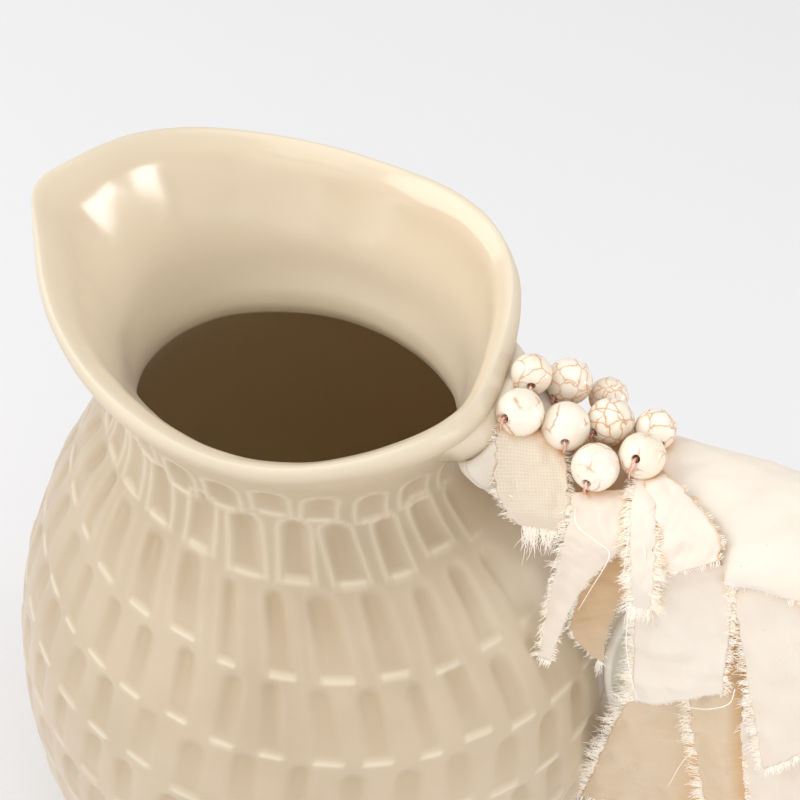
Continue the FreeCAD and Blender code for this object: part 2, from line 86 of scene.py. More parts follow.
def through(points, knots, places):
    """Cubic pieces through the points: a weighted sum of each piece's two ends and of the slopes there."""
    points, knots, places = (np.asarray(item, float) for item in (points, knots, places))
    slopes = np.gradient(points, knots, axis=0)
    first = np.clip(np.searchsorted(knots, places) - 1, 0, len(knots) - 2)
    step = (knots[first + 1] - knots[first]).reshape((-1,) + (1,) * (points.ndim - 1))
    t = (places - knots[first]).reshape(step.shape) / step
    start, end = points[first], points[first + 1]
    return (start * (2 * t ** 3 - 3 * t ** 2 + 1) + slopes[first] * step * (t ** 3 - 2 * t ** 2 + t)
            + end * (3 * t ** 2 - 2 * t ** 3) + slopes[first + 1] * step * (t ** 3 - t ** 2))


def run_along(line):
    """Distance along a line of points, from 0 at its first point."""
    return np.concatenate([[0], np.cumsum(np.linalg.norm(np.diff(line, axis=0), axis=1))])


def along_line(line, run, places):
    """Points of a line at places along its run, each coordinate interpolated by itself."""
    return np.stack([np.interp(places, run, line[:, k]) for k in range(3)], axis=-1)


def spaced(count, low, high, places, densities):
    """Places from low to high, closer together where the interpolated density is higher."""
    fine = np.linspace(low, high, 4001)
    middle = (fine[1:] + fine[:-1]) / 2
    run = np.concatenate([[0], np.cumsum(np.interp(middle, places, densities))])
    return np.interp(np.linspace(0, run[-1], count), run, fine)


def soft_noise(points, length, seed, count=16):
    """Sum of sine waves of about one length, each with its own way and phase, mostly between -1 and 1."""
    rng = np.random.default_rng(seed)
    ways = unit(rng.normal(size=(count, 3))) / (length * rng.uniform(0.6, 1.7, (count, 1)))
    phases = rng.uniform(0, math.tau, count)
    return np.sin(points @ ways.T * math.tau + phases).sum(-1) / math.sqrt(count)


print("noise at the origin:", round(float(soft_noise(np.zeros((1, 3)), 10, 1)[0]), 3))

# %% [markdown]
# ## From a grid of points to a mesh
#
# Blender can turn profiles and sweep sections by itself, but a grid of points is the same for a wall, a tube,
# a ball and a cloth, so one maker serves them all. A grid of rows and columns becomes four-sided faces
# between neighbours. Where a row or column closes on itself, its last points join its first. Points that fall
# together, as at a pole, are welded, and a closed form has its faces turned outwards.

# %% Grid and tube meshes


def grid_faces(rows, columns, rows_close=False, columns_close=False):
    """Faces between neighbours: corner numbers row * columns + column, taken round each cell."""
    row = np.arange(rows if rows_close else rows - 1)[:, None]
    column = np.arange(columns if columns_close else columns - 1)[None, :]
    below, beside = (row + 1) % rows, (column + 1) % columns
    corners = ((row, column), (row, beside), (below, beside), (below, column))
    return np.stack([(first * columns + second).ravel() for first, second in corners], axis=1)


def put_mesh(name, points, faces, material, closed=True, uv=None, values=None):
    """Mesh from points in millimetres, welded and turned outwards, with its point values and its UV."""
    mesh = bpy.data.meshes.new(name)
    mesh.from_pydata((np.asarray(points, float).reshape(-1, 3) * MM).tolist(), [], np.asarray(faces).tolist())
    for label, numbers in (values or {}).items():
        layer = mesh.attributes.new(label, "FLOAT", "POINT")
        layer.data.foreach_set("value", np.ravel(numbers).astype(np.float32))
    if uv is not None:
        corner_points = np.empty(len(mesh.loops), np.int32)
        mesh.loops.foreach_get("vertex_index", corner_points)
        layer = mesh.uv_layers.new(name="UVMap")
        layer.data.foreach_set("uv", np.asarray(uv, float).reshape(-1, 2)[corner_points].ravel())
    if closed:
        work = bmesh.new()
        work.from_mesh(mesh)
        bmesh.ops.remove_doubles(work, verts=work.verts, dist=1e-6)
        bmesh.ops.recalc_face_normals(work, faces=work.faces)
        work.to_mesh(mesh)
        work.free()
    mesh.polygons.foreach_set("use_smooth", np.ones(len(mesh.polygons), bool))
    mesh.materials.append(material)
    piece = bpy.data.objects.new(name, mesh)
    bpy.context.scene.collection.objects.link(piece)
    return piece


def tube_rings(line, wide_way, wide, tall, sides):
    """Ovals carried along a line: wide_way times cosine plus the way across it times sine."""
    line = np.asarray(line, float)
    ahead = unit(np.gradient(line, axis=0))
    across = unit(wide_way - ahead * (ahead * wide_way).sum(-1, keepdims=True))
    upright = np.cross(ahead, across)
    angle = np.linspace(0, math.tau, sides, endpoint=False)[None, :, None]
    wide, tall = (np.broadcast_to(item, len(line))[:, None, None] for item in (wide, tall))
    return line[:, None] + across[:, None] * wide * np.cos(angle) + upright[:, None] * tall * np.sin(angle)


def capped(rings):
    """Rings with their two ends drawn to a point, so that the tube is closed."""
    ends = [np.broadcast_to(ring.mean(axis=0), ring.shape)[None] for ring in (rings[0], rings[-1])]
    return np.concatenate([ends[0], rings, ends[1]])


def settle(piece, body, slot, *nodes):
    """The piece rides on its body and stands for its CAD nodes, which are hidden; the slot is not used."""
    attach(piece, body)
    if nodes:
        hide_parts(*nodes)
    print(f"{piece.name}: {len(piece.data.polygons)} faces")
    return piece


print("a grid of 3 by 4 points makes", len(grid_faces(3, 4)), "faces")

# %% [markdown]
# ## Tools for finishes
#
# A finish is a small tree of nodes. Colours are written as they look on a screen, from 0 to 255, and are
# turned into the linear values that the renderer works in. Patterns are worked out from the place on the
# piece, so no picture is needed and they hold up from any distance.

# %% Node tools


def screen(red, green, blue):
    """Linear colour from screen values: ((c + 0.055) / 1.055) ^ 2.4, or c / 12.92 when dark."""
    shares = [value / 255 for value in (red, green, blue)]
    return [c / 12.92 if c <= 0.04045 else ((c + 0.055) / 1.055) ** 2.4 for c in shares] + [1.0]


def new_finish(name, **sockets):
    """Material with one Principled shader, whose plain numbers are set on its own sockets."""
    finish = bpy.data.materials.new(name)
    finish.use_nodes = True
    shader = finish.node_tree.nodes["Principled BSDF"]
    for label, value in sockets.items():
        shader.inputs[label.replace("_", " ")].default_value = value
    return finish, finish.node_tree, shader


def feed(tree, socket, value):
    """Link a socket from a node's output, or set its own value."""
    if isinstance(value, bpy.types.NodeSocket):
        tree.links.new(value, socket)
    else:
        socket.default_value = value


def add(tree, kind, inputs=None, **settings):
    """One shader node with its settings and its fed inputs."""
    made = tree.nodes.new("ShaderNode" + kind)
    for label, value in settings.items():
        setattr(made, label, value)
    for label, value in (inputs or {}).items():
        feed(tree, made.inputs[label], value)
    return made


def mixed(tree, share, first, second, how="MIX"):
    """Colour between two colours: first where the share is 0, second where it is 1."""
    made = tree.nodes.new("ShaderNodeMix")
    made.data_type, made.blend_type = "RGBA", how
    for place, value in ((0, share), (6, first), (7, second)):
        feed(tree, made.inputs[place], value)
    return made.outputs[2]


def maths(tree, how, first, second=0.0):
    """One sum or product of two numbers, held between 0 and 1."""
    made = add(tree, "Math", operation=how, use_clamp=True)
    feed(tree, made.inputs[0], first)
    feed(tree, made.inputs[1], second)
    return made.outputs[0]


def ramp(tree, source, low, high):
    """Number that rises smoothly from 0 at low to 1 at high."""
    return add(tree, "MapRange", {"Value": source, "From Min": low, "From Max": high},
               interpolation_type="SMOOTHSTEP").outputs["Result"]


def noise(tree, where, scale, detail=3.0, roughness=0.5):
    """Cloudy noise at a scale per metre."""
    return add(tree, "TexNoise", {"Vector": where, "Scale": scale, "Detail": detail,
                                  "Roughness": roughness}).outputs["Fac"]


def own_place(tree):
    """Place on the piece itself, in metres."""
    return add(tree, "TexCoord").outputs["Object"]


def point_value(tree, label):
    """Number that the mesh carries on its points."""
    return add(tree, "Attribute", attribute_name=label).outputs["Fac"]


def tinted(tree, colour, share, strength, over):
    """The colour with another one laid over it, by share * strength."""
    return mixed(tree, maths(tree, "MULTIPLY", share, strength), colour, screen(*over))


def clouded(tree, where, scale, low, high, first, second, detail=3.0):
    """Colour that drifts between two screen colours: the noise, spread from low to high, is the share."""
    share = ramp(tree, noise(tree, where, scale, detail), low, high)
    return mixed(tree, share, screen(*first), screen(*second))


def bump(tree, shader, height, strength, distance):
    """Fine relief from a height, without moving the mesh."""
    made = add(tree, "Bump", {"Height": height, "Strength": strength, "Distance": distance})
    tree.links.new(made.outputs["Normal"], shader.inputs["Normal"])


print("a middle grey of the screen in linear values:", round(screen(128, 128, 128)[0], 3))

# %% [markdown]
# ## The glaze
#
# A cream glaze over pale clay. Outside it dries to a satin skin, inside the mouth it stays glossy. It is
# paler on raised edges and the lip, partly where the thin glaze breaks and partly as a painted highlight, and
# darker in the carved slots, partly where the glaze pools and partly as painted shade. A pointiness node
# would find such edges only roughly, so the mesh carries them as point values: carved, raised and inside.
# Further point
# values carry painted light and shade: a paler painted light on the inner wall of the collar down to the
# throat, a darker painted shade in the belly's inside, and a paler patch of painted light on the belly and
# the handle's root, where light bounced from the white cloth falls on the glaze.

# %% Cream glaze
# Rows: point value, strength and the colour it lays over the glaze. Among them are painted light and shade:
# the inner collar wall paler as painted light, the belly's inside darker as painted shade, the slots darker
# partly as painted shade, ridges and lip paler partly as a painted highlight, and a pale patch of painted
# bounce light near the cloth.
GLAZE_SHADES = (("inside", 1.0, (228, 210, 182)), ("deep", 1.0, (250, 236, 211)),
                ("belly_shade", 1.0, (226, 203, 164)), ("carved", 0.6, (182, 158, 124)),
                ("raised", 1.0, (229, 217, 193)), ("painted_bounce_light", 1.0, (246, 234, 212)))

clay, tree, shader = new_finish("cream_glaze", IOR=1.5, Coat_Weight=0.3, Coat_Roughness=0.3, Sheen_Weight=0.3,
                                Sheen_Roughness=0.4, Sheen_Tint=screen(255, 248, 236))
where = own_place(tree)
colour = clouded(tree, where, 28.0, 0.35, 0.7, (201, 182, 155), (191, 171, 143), 4.0)
for label, strength, shade in GLAZE_SHADES:
    colour = tinted(tree, colour, point_value(tree, label), strength, shade)
speck = ramp(tree, noise(tree, where, 900.0, 2.0), 0.72, 0.80)
feed(tree, shader.inputs["Base Color"], tinted(tree, colour, speck, 0.10, (170, 140, 105)))
rough = add(tree, "MapRange", {"Value": point_value(tree, "inside"), "To Min": 0.46, "To Max": 0.16})
feed(tree, shader.inputs["Roughness"], rough.outputs["Result"])
skin_relief = maths(tree, "ADD", noise(tree, where, 120.0, 3.0), maths(tree, "MULTIPLY", speck, 0.3))
bump(tree, shader, skin_relief, 0.12, 0.0006)
print("glaze shades:", [label for label, _, _ in GLAZE_SHADES])

# %% [markdown]
# ## The thrown wall
#
# On the wheel the wall rises in one go: foot, round belly, narrow neck leaning to an oval, flared collar with
# a pinched beak. A turned profile with a thickness from a modifier would be quick, but its lip would be
# square and the oval neck and the beak would have to be pushed in later. So it is one closed surface here
# too: a ring for each level, from the foot up the outside, over the rounded lip and down the inside to the
# floor.

# %% Sizes of the wall, in millimetres
BELLY = ((0.13, 0.80), (0.30, 0.93), (0.50, 1.0),  # shares of the neck's level and of the belly's radius
         (0.64, 0.985), (0.77, 0.905), (0.88, 0.735))
BELLY_RADIUS, FOOT_RADIUS, FOOT_BEVEL = 77.5, 50.0, 1.6
WALL, FLOOR, FLOOR_RADIUS = 4.6, 7.0, 40.8
NECK_LEVEL, NECK_LENGTH, NECK_WIDTH, NECK_SHIFT = 190.0, 85.0, 76.0, 12.0
MOUTH_LENGTH, MOUTH_WIDTH, MOUTH_SHIFT = 112.5, 104.6, 15.8
RIM_LEVEL, SPOUT_RISE, SHOULDER_RISE, HANDLE_NOTCH = 215.3, 15.7, 4.0, 2.3
BEAK_REACH, BEAK_WIDTH, HANDLE_DENT = 4.0, 22.0, 5.9
print(f"belly {2 * BELLY_RADIUS} mm across, spout tip {RIM_LEVEL + SPOUT_RISE} mm high")

# %% Rings of the wall
angles = spaced(381, -math.pi * 1.5, math.pi * 0.5, [-4.4, -3.9, 0.3, 0.8], [1.0, 2.3, 2.3, 1.0])[:-1]
cosine, sine = np.cos(angles), np.sin(angles)


def ring(half_long, half_wide, shift, level, reach=0.0):
    """Oval ring: (shift + half_long cos a - reach, half_wide sin a, level)."""
    level = np.broadcast_to(level, angles.shape)
    return np.stack([shift + half_long * cosine - reach, half_wide * sine, level], axis=-1)


def belly_ring(height, radius, inset):
    """Ring of the belly: round low down, moved and drawn oval towards the neck."""
    rise = ease((height - 0.8) / 0.2)
    oval = rise ** 2 * (NECK_LENGTH - NECK_WIDTH) / 4
    return ring(radius * BELLY_RADIUS + oval - inset, radius * BELLY_RADIUS - oval - inset,
                -NECK_SHIFT * rise, height * NECK_LEVEL)


def collar_ring(flare, inset):
    """Ring of the collar: flare^1.5 grows the neck's oval to the mouth's, with beak, dent and rim line."""
    grow = flare ** 1.5
    handle_side = np.clip(cosine, 0, 1) ** 8
    shoulders = np.where(cosine > 0, SHOULDER_RISE * np.sin(2 * angles) ** 2, 0)
    rim = RIM_LEVEL + SPOUT_RISE * ((1 - cosine) / 2) ** 3.6 + shoulders - HANDLE_NOTCH * handle_side
    off_tip = np.abs((angles + math.tau) % math.tau - math.pi)
    beak = BEAK_REACH * np.exp(-(off_tip / (BEAK_WIDTH / MOUTH_WIDTH)) ** 2)
    half_long = (NECK_LENGTH + grow * (MOUTH_LENGTH - NECK_LENGTH)) / 2 - inset
    half_wide = (NECK_WIDTH + grow * (MOUTH_WIDTH - NECK_WIDTH)) / 2 - inset
    shift = -(NECK_SHIFT + grow * (MOUTH_SHIFT - NECK_SHIFT))
    return ring(half_long, half_wide, shift, NECK_LEVEL + flare * (rim - NECK_LEVEL),
                grow * (beak + HANDLE_DENT * handle_side))


outside = [ring(FOOT_RADIUS, FOOT_RADIUS, 0, FOOT_BEVEL)] + [belly_ring(*pair, 0) for pair in BELLY]
outside += [collar_ring(flare, 0) for flare in (0, 0.35, 0.68, 0.93)]
inner = [collar_ring(flare, WALL) for flare in (0.93, 0.68, 0.35, 0)]
throat = collar_ring(0.0, WALL + 0.6)  # the clay bulges in a little under the neck, most at its back
throat[:, 1] -= 2.2 * np.clip(sine, 0, 1)
throat[:, 2] -= 6.5
inner += [throat] + [belly_ring(*pair, WALL) for pair in reversed(BELLY)]
inner += [ring(radius, radius, 0, level)
          for radius, level in ((FOOT_RADIUS, 11.6), (45.4, 8.6), (FLOOR_RADIUS, FLOOR))]
stations = np.stack(outside + [collar_ring(1.0, WALL / 2)] + inner)
front_column = int(np.argmin(np.abs(angles + math.pi / 2)))
knots = run_along(stations[:, front_column])
lip = len(outside)
row_density = [0.5, 0.5, 0.55, 0.6, 0.8, 1.05, 1.15, 1.1, 0.9, 0.7, 1.7, 2.6, 1.7, 0.5, 0.4, 0.35]
row_density += [0.25] * (len(knots) - len(row_density))
rows = spaced(246, 0, knots[-1], knots, row_density)
wall = through(stations, knots, rows)
print(f"wall: {wall.shape[0]} rows by {wall.shape[1]} columns, outline {knots[-1]:.0f} mm long")

# %% [markdown]
# ## The carved slots
#
# When the clay is leather hard, a loop tool takes short upright bites out of it, row under row, each row
# moved by half a slot. A bite starts with a steep rounded top and ends in a small ridge of pushed clay. A
# bump in the glaze would stay flat at the outline, so the points themselves move. The depth is worked out for
# all points at once: inside a slot's arched outline the wall goes in, and under it a ridge stands out. Seeded
# changes in width, place and depth keep the look of hand work.

# %% Depth of the carving: bottom and top level, slots in the row, first slot's degrees, depth, outline ridge
SLOT_ROWS = ((187.6, 196.0, 24, -98.0, 0.75, 0.9), (177.6, 187.4, 26, -92.0, 0.85, 0.8),
             (162.6, 176.0, 31, -95.3, 0.85, 0.15), (146.0, 160.8, 37, -95.6, 0.9, 0.0),
             (127.6, 143.6, 37, -91.0, 0.9, 0.0), (109.4, 125.4, 39, -94.0, 0.9, 0.0),
             (91.0, 107.0, 38, -90.0, 0.9, 0.0), (72.6, 88.8, 38, -95.0, 0.85, 0.0),
             (54.6, 70.4, 36, -91.0, 0.85, 0.0), (36.8, 52.4, 35, -96.0, 0.8, 0.0),
             (19.4, 34.6, 33, -92.0, 0.75, 0.0))
outline_run = rows[rows < knots[lip]]
outline_level = wall[: len(outline_run), front_column, 2]
surface_run = np.interp(wall[..., 2], outline_level, outline_run)
around = np.linalg.norm(wall[..., :2] - wall[..., :2].mean(axis=1, keepdims=True), axis=-1)
dent, ridge = np.zeros(wall.shape[:2]), np.zeros(wall.shape[:2])
rng = np.random.default_rng(7)
for bottom, top, count, phase, depth, outline in SLOT_ROWS:
    turns = (np.degrees(angles)[None, :] - phase) * count / 360
    cell = np.rint(turns).astype(int) % count
    change = rng.normal(size=(5, count))[:, cell]
    pitch = math.tau / count * around
    half = pitch * (0.30 + 0.028 * change[0])
    sideways = (turns - np.rint(turns) - 0.03 * change[1]) * pitch
    run_bottom, run_top = np.interp([bottom, top], outline_level, outline_run)
    climb = surface_run - run_bottom - 0.8 * change[2]
    sideways = sideways - climb * 0.045 * change[3]
    length = run_top - run_bottom
    arch = np.maximum(climb - (length - half), 0)
    within = np.minimum(half - np.hypot(sideways, arch), climb)
    bowl = 0.42 + 0.58 * ease(climb / length) - 0.2 * np.clip(np.abs(sideways) / half, 0, 1) ** 2
    dent = np.maximum(dent, depth * (1 + 0.14 * change[4]) * bowl * ease(within / 1.7))
    foot_ridge = 0.36 * np.exp(-((climb + 0.55) / 0.75) ** 2) * ease((half * 1.05 - np.abs(sideways)) / 1.1)
    rim_ridge = 0.26 * outline * np.exp(-((within + 0.65) / 0.55) ** 2)
    ridge = np.maximum(ridge, np.maximum(foot_ridge, rim_ridge))
from_handle = np.abs(np.degrees(np.arctan2(sine, cosine)))[None, :]
kept_plain = np.where(wall[..., 2] > 150, 20, 10)  # degrees beside the handle, more at its upper root
shown = ease((from_handle - kept_plain) / 9) * (rows < knots[lip] - 12)[:, None]
dent, ridge = dent * shown, ridge * shown
print(f"deepest slot {dent.max():.2f} mm, highest ridge {ridge.max():.2f} mm")

# %% The pitcher's body
across_way = np.roll(wall, -1, axis=1) - np.roll(wall, 1, axis=1)
outward = unit(np.cross(across_way, np.gradient(wall, axis=0)))
hand_marks = 0.16 * soft_noise(wall, 34, 3) + 0.05 * soft_noise(wall, 9, 4)
still = ease((rows - 3) / 10) * ease((knots[-1] - rows - 3) / 10)
moved = wall + outward * ((ridge - dent + hand_marks * still[:, None])[..., None])
stood_on = FOOT_RADIUS - FOOT_BEVEL
under = [ring(share * stood_on, share * stood_on, 0, 0.0) for share in (0.0, 0.5, 0.97, 1.0)]
floor_rings = [ring(share * FLOOR_RADIUS, share * FLOOR_RADIUS, 0, FLOOR - 0.1) for share in (0.6, 0.0)]
body_points = np.concatenate([np.stack(under), moved, np.stack(floor_rings)])


def with_ends(numbers, last=0.0):
    """Row values with those of the foot's underside and of the floor added."""
    ends = np.ones((1, numbers.shape[1]))
    return np.concatenate([0 * ends.repeat(len(under), 0), numbers, last * ends.repeat(len(floor_rings), 0)])


under_lip = (rows - knots[lip])[:, None] + 0 * dent  # minus on the outside, plus on the inside
# Paler along the lip: partly the thin glaze breaking over it, partly a painted highlight.
lip_break_and_highlight = 0.85 * np.exp(-(under_lip / 2.6) ** 2)
# Painted light: a paler patch on the belly beside the handle, where light bounced from the white cloth falls
# on the glaze.
BRIGHT_SPOT, SPOT_SIZE = np.array([49.0, -13.0, 166.0]), np.array([13.0, 20.0, 24.0])
painted_bounce_light = 0.8 * np.exp(-(((wall - BRIGHT_SPOT) / SPOT_SIZE) ** 2).sum(-1)) * (under_lip < 0)
body_values = {
    # Painted light: the inner wall of the collar, down to the throat, is painted paler where light falls on
    # it.
    "deep": with_ends(ease((under_lip - 8) / 30) * (1 - ease((under_lip - 44) / 10))),
    # Painted shade: the belly's inside, under the throat, is painted darker and warmer for the dim light
    # there.
    "belly_shade": with_ends(ease((under_lip - 44) / 14), 1.0),
    "painted_bounce_light": with_ends(painted_bounce_light),
    # Darker in the slots by their depth: partly where the glaze pools and partly as painted shade.
    "carved": with_ends(dent / 0.9),
    # Paler on the ridges at the slots' feet and on the lip: partly thin glaze, partly a painted highlight.
    "raised": with_ends(np.clip(ridge / 0.4 + lip_break_and_highlight, 0, 1)),
    "inside": with_ends(ease((under_lip + 1) / 3), 1.0)}
pitcher = put_mesh("pitcher_body", body_points, grid_faces(*body_points.shape[:2], columns_close=True), clay,
                   values=body_values)
settle(pitcher, "pitcher", "glazed_clay", "vessel")

# %% [markdown]
# ## The strap handle
#
# A pulled strap is a flat oval all along. It swells where the potter pressed it on under the rim, runs out
# level, turns down in a tight knee and comes back to the belly. A curve with a round bevel would give a rod,
# so ovals are carried along a smooth centre line, with wide ends that sink into the wall. At the root the
# strap wraps round the collar a little, and no point of it may come through to the inside of the mouth.

# %% Handle: distance out, level, and the shares of the half width and the half thickness
STRAP_HALF_WIDE, STRAP_HALF_TALL = 12.0, 5.6
ROOT_RADIUS, ROOT_SINK, COLLAR_RISE = 42.0, 2.6, 24.0
HANDLE_STATIONS = np.array([
    (31.5, 204.5, 1.75, 1.34), (39, 198.3, 1.40, 1.13), (54, 193, 1.10, 1.0), (73, 194.5, 1, 1),
    (92, 198.5, 1, 1), (108, 199, 0.98, 0.98), (122, 189, 0.95, 0.95), (129.5, 168, 0.92, 0.92),
    (128, 143, 0.90, 0.90), (117, 119, 0.90, 0.88), (97, 99, 0.98, 0.90), (81, 90.5, 1.12, 1.05),
    (72.5, 87, 1.40, 1.35)])
handle_knots = run_along(HANDLE_STATIONS[:, :2])
handle_fine = through(HANDLE_STATIONS, handle_knots, np.linspace(0, handle_knots[-1], 200))


def hang(along, front, up):
    """Point from its distances: outwards along the handle, to the front and up."""
    along, front, up = np.broadcast_arrays(along, front, up)
    return along[..., None] * OUT + front[..., None] * FRONT + up[..., None] * UP


def root_lift(points):
    """Lift of the root's front edge: 4.5 (front / 20)^2, faded in outside the wall and out on the strap."""
    front = np.clip(points @ FRONT, 0, None)
    along = points @ OUT + front ** 2 / (2 * ROOT_RADIUS)
    return 4.5 * ease((along - 31.5) / 4) * (1 - ease((along - 34) / 12)) * (front / 20) ** 2


centre_line = hang(handle_fine[:, 0], 0.0, handle_fine[:, 1])
handle_rings = tube_rings(centre_line, FRONT, handle_fine[:, 2] * STRAP_HALF_WIDE,
                          handle_fine[:, 3] * STRAP_HALF_TALL, 56)
off_centre = unit(handle_rings - handle_rings.mean(axis=1, keepdims=True))
handle_rings = handle_rings + 0.14 * soft_noise(handle_rings, 16, 9)[..., None] * off_centre
bend = 1 - ease((handle_rings @ OUT - 32) / 11)
handle_rings = handle_rings - OUT * (bend * (handle_rings @ FRONT) ** 2 / (2 * ROOT_RADIUS))[..., None]
handle_rings = capped(handle_rings + UP * root_lift(handle_rings)[..., None])
print(f"strap: {handle_knots[-1]:.0f} mm along its middle, {len(handle_rings)} rings")

# %% The root stays outside the mouth
grow = np.clip((handle_rings[..., 2] - NECK_LEVEL) / COLLAR_RISE, 0, 1) ** 1.5
collar_half_wide = (NECK_WIDTH + grow * (MOUTH_WIDTH - NECK_WIDTH)) / 2
collar_half_long = (NECK_LENGTH + grow * (MOUTH_LENGTH - NECK_LENGTH)) / 2
leaning = np.sqrt(np.clip(1 - (handle_rings[..., 1] / collar_half_wide) ** 2, 0, 1))
wall_face = (collar_half_long * leaning - NECK_SHIFT
             - grow * (MOUTH_SHIFT - NECK_SHIFT + HANDLE_DENT * leaning ** 8))
at_collar = (handle_rings[..., 2] > NECK_LEVEL) & (handle_rings[..., 0] < 40)
seated = np.maximum(handle_rings[..., 0], wall_face - ROOT_SINK)
handle_rings[..., 0] = np.where(at_collar, seated, handle_rings[..., 0])
# Painted light: the strap's root under the rim is painted paler where it would show shaded, partly with
# painted bounce light from the cloth.
painted_root_light = ease((handle_rings[..., 2] - 203) / 6) * (1 - ease((handle_rings @ OUT - 38) / 6))
handle = put_mesh("strap_handle", handle_rings, grid_faces(*handle_rings.shape[:2], columns_close=True), clay,
                  values={"raised": 0.6 * painted_root_light, "painted_bounce_light": 0.5 * painted_root_light})
settle(handle, "pitcher", "glazed_clay", "handle")

# %% [markdown]
# ## Cloth finishes
#
# The strips are torn plain-woven cotton. A weave on the place in the room would slide off a slanting strip,
# so it is two sets of fine waves on the UV, which is laid out in real millimetres along the cloth. A point
# value of tone and shade makes parts of a strip warm: partly the unbleached cotton's own tone, partly painted
# shade where a strip lies under or beside others. Narrow gaps between layers get a painted warm shade, and
# dark flecks are bits of seed in the thread.

# %% Woven cotton


def cotton(name, pale, warm, flecks, pitch=0.36, relief=0.25, gap_shade=0.05):
    """Plain weave: the higher of two crossed thread waves, over a colour that follows a point value of the
    cotton's own tone and of painted shade, with a painted warm shade in narrow gaps.
    """
    finish, tree, shader = new_finish(name, Roughness=0.88, Sheen_Weight=0.2, Sheen_Roughness=0.5)
    shader.inputs["Specular IOR Level"].default_value = 0.2
    uv = add(tree, "UVMap", uv_map="UVMap").outputs["UV"]
    where = own_place(tree)
    wobble = add(tree, "TexNoise", {"Vector": uv, "Scale": 0.35, "Detail": 2.0}).outputs["Color"]
    bent = mixed(tree, 0.10, uv, wobble, "ADD")
    threads = [add(tree, "TexWave", {"Vector": bent, "Scale": math.pi / 10 / pitch, "Distortion": 0.6,
                                     "Detail": 1.0, "Detail Scale": 2.0}, bands_direction=way).outputs["Fac"]
               for way in ("X", "Y")]
    weave = add(tree, "Math", {0: threads[0], 1: threads[1]}, operation="MAXIMUM").outputs[0]
    drawn_out = add(tree, "Mapping", {"Vector": uv, "Scale": (0.06, 1.3, 1.0)}).outputs[0]
    slub = add(tree, "TexNoise", {"Vector": drawn_out, "Scale": 1.0, "Detail": 3.0}).outputs["Fac"]
    cloudy = maths(tree, "MULTIPLY", ramp(tree, noise(tree, where, 90.0, 4.0), 0.3, 0.75), 0.12)
    colour = mixed(tree, maths(tree, "ADD", point_value(tree, "tone_and_shade"), cloudy), screen(*pale), screen(*warm))
    colour = tinted(tree, colour, ramp(tree, slub, 0.5, 0.8), 0.2, (236, 225, 207))
    colour = tinted(tree, colour, ramp(tree, weave, 0.75, 0.25), gap_shade, (215, 193, 164))
    # Painted shade: an occlusion node tints narrow gaps between layers warm, for the shade and warm light
    # there.
    painted_gap_shade = add(tree, "AmbientOcclusion", {"Distance": 0.005}, samples=6).outputs["AO"]
    colour = tinted(tree, colour, ramp(tree, painted_gap_shade, 0.75, 0.25), 0.75, (236, 188, 134))
    seeds = ramp(tree, noise(tree, where, 620.0, 2.0, 0.7), 0.735 - 0.02 * flecks, 0.76)
    colour = tinted(tree, colour, seeds, 0.75 * min(flecks, 1), (112, 78, 52))
    feed(tree, shader.inputs["Base Color"], colour)
    bump(tree, shader, maths(tree, "ADD", weave, maths(tree, "MULTIPLY", slub, 0.6)), relief, 0.00012)
    return finish


white_cotton = cotton("torn_cotton", (240, 231, 219), (230, 192, 146), 0.3)
# The back strips' cotton: unbleached with seed flecks, and also made darker and warmer as painted shade for
# strips that hang behind the others.
warm_cotton = cotton("torn_cotton_warm", (220, 199, 171), (210, 162, 102), 1.0)
gauze = cotton("open_gauze", (236, 224, 206), (214, 192, 162), 0.0, pitch=0.72, relief=0.6, gap_shade=0.4)
print("cotton finishes:", [finish.name for finish in (white_cotton, warm_cotton, gauze)])

# %% Smooth band and loose thread
satin, tree, shader = new_finish("satin_band", Roughness=0.5, Sheen_Weight=0.2)
uv = add(tree, "UVMap", uv_map="UVMap").outputs["UV"]
ribs = add(tree, "TexWave", {"Vector": uv, "Scale": 0.9, "Distortion": 0.4},
           bands_direction="X").outputs["Fac"]
feed(tree, shader.inputs["Base Color"],
     clouded(tree, own_place(tree), 70.0, 0.3, 0.8, (234, 224, 209), (222, 210, 193)))
bump(tree, shader, ribs, 0.25, 0.00008)

# A little light of its own stands for the light that scatters through so thin a thread.
thread_finish, tree, shader = new_finish("cotton_thread", Roughness=0.9, Sheen_Weight=0.3,
                                         Emission_Color=screen(255, 247, 235), Emission_Strength=0.2)
where = own_place(tree)
feed(tree, shader.inputs["Base Color"],
     clouded(tree, where, 160.0, 0.35, 0.75, (248, 243, 234), (244, 234, 216)))
bump(tree, shader, noise(tree, where, 2600.0), 0.3, 0.00005)
print("band and thread finishes:", satin.name, thread_finish.name)

# %% [markdown]
# ## Threads
#
# A torn edge sheds the threads that ran along it, and the cut ends of the others stand out as a fringe. Hair
# strands would look right but leave no mesh behind, so each thread is a thin four-sided tube that starts on
# the edge, leans outwards, curls a little and droops. All threads of a piece are worked out together.

# %% Thread tubes and fringes
THREAD_RADIUS = 0.075


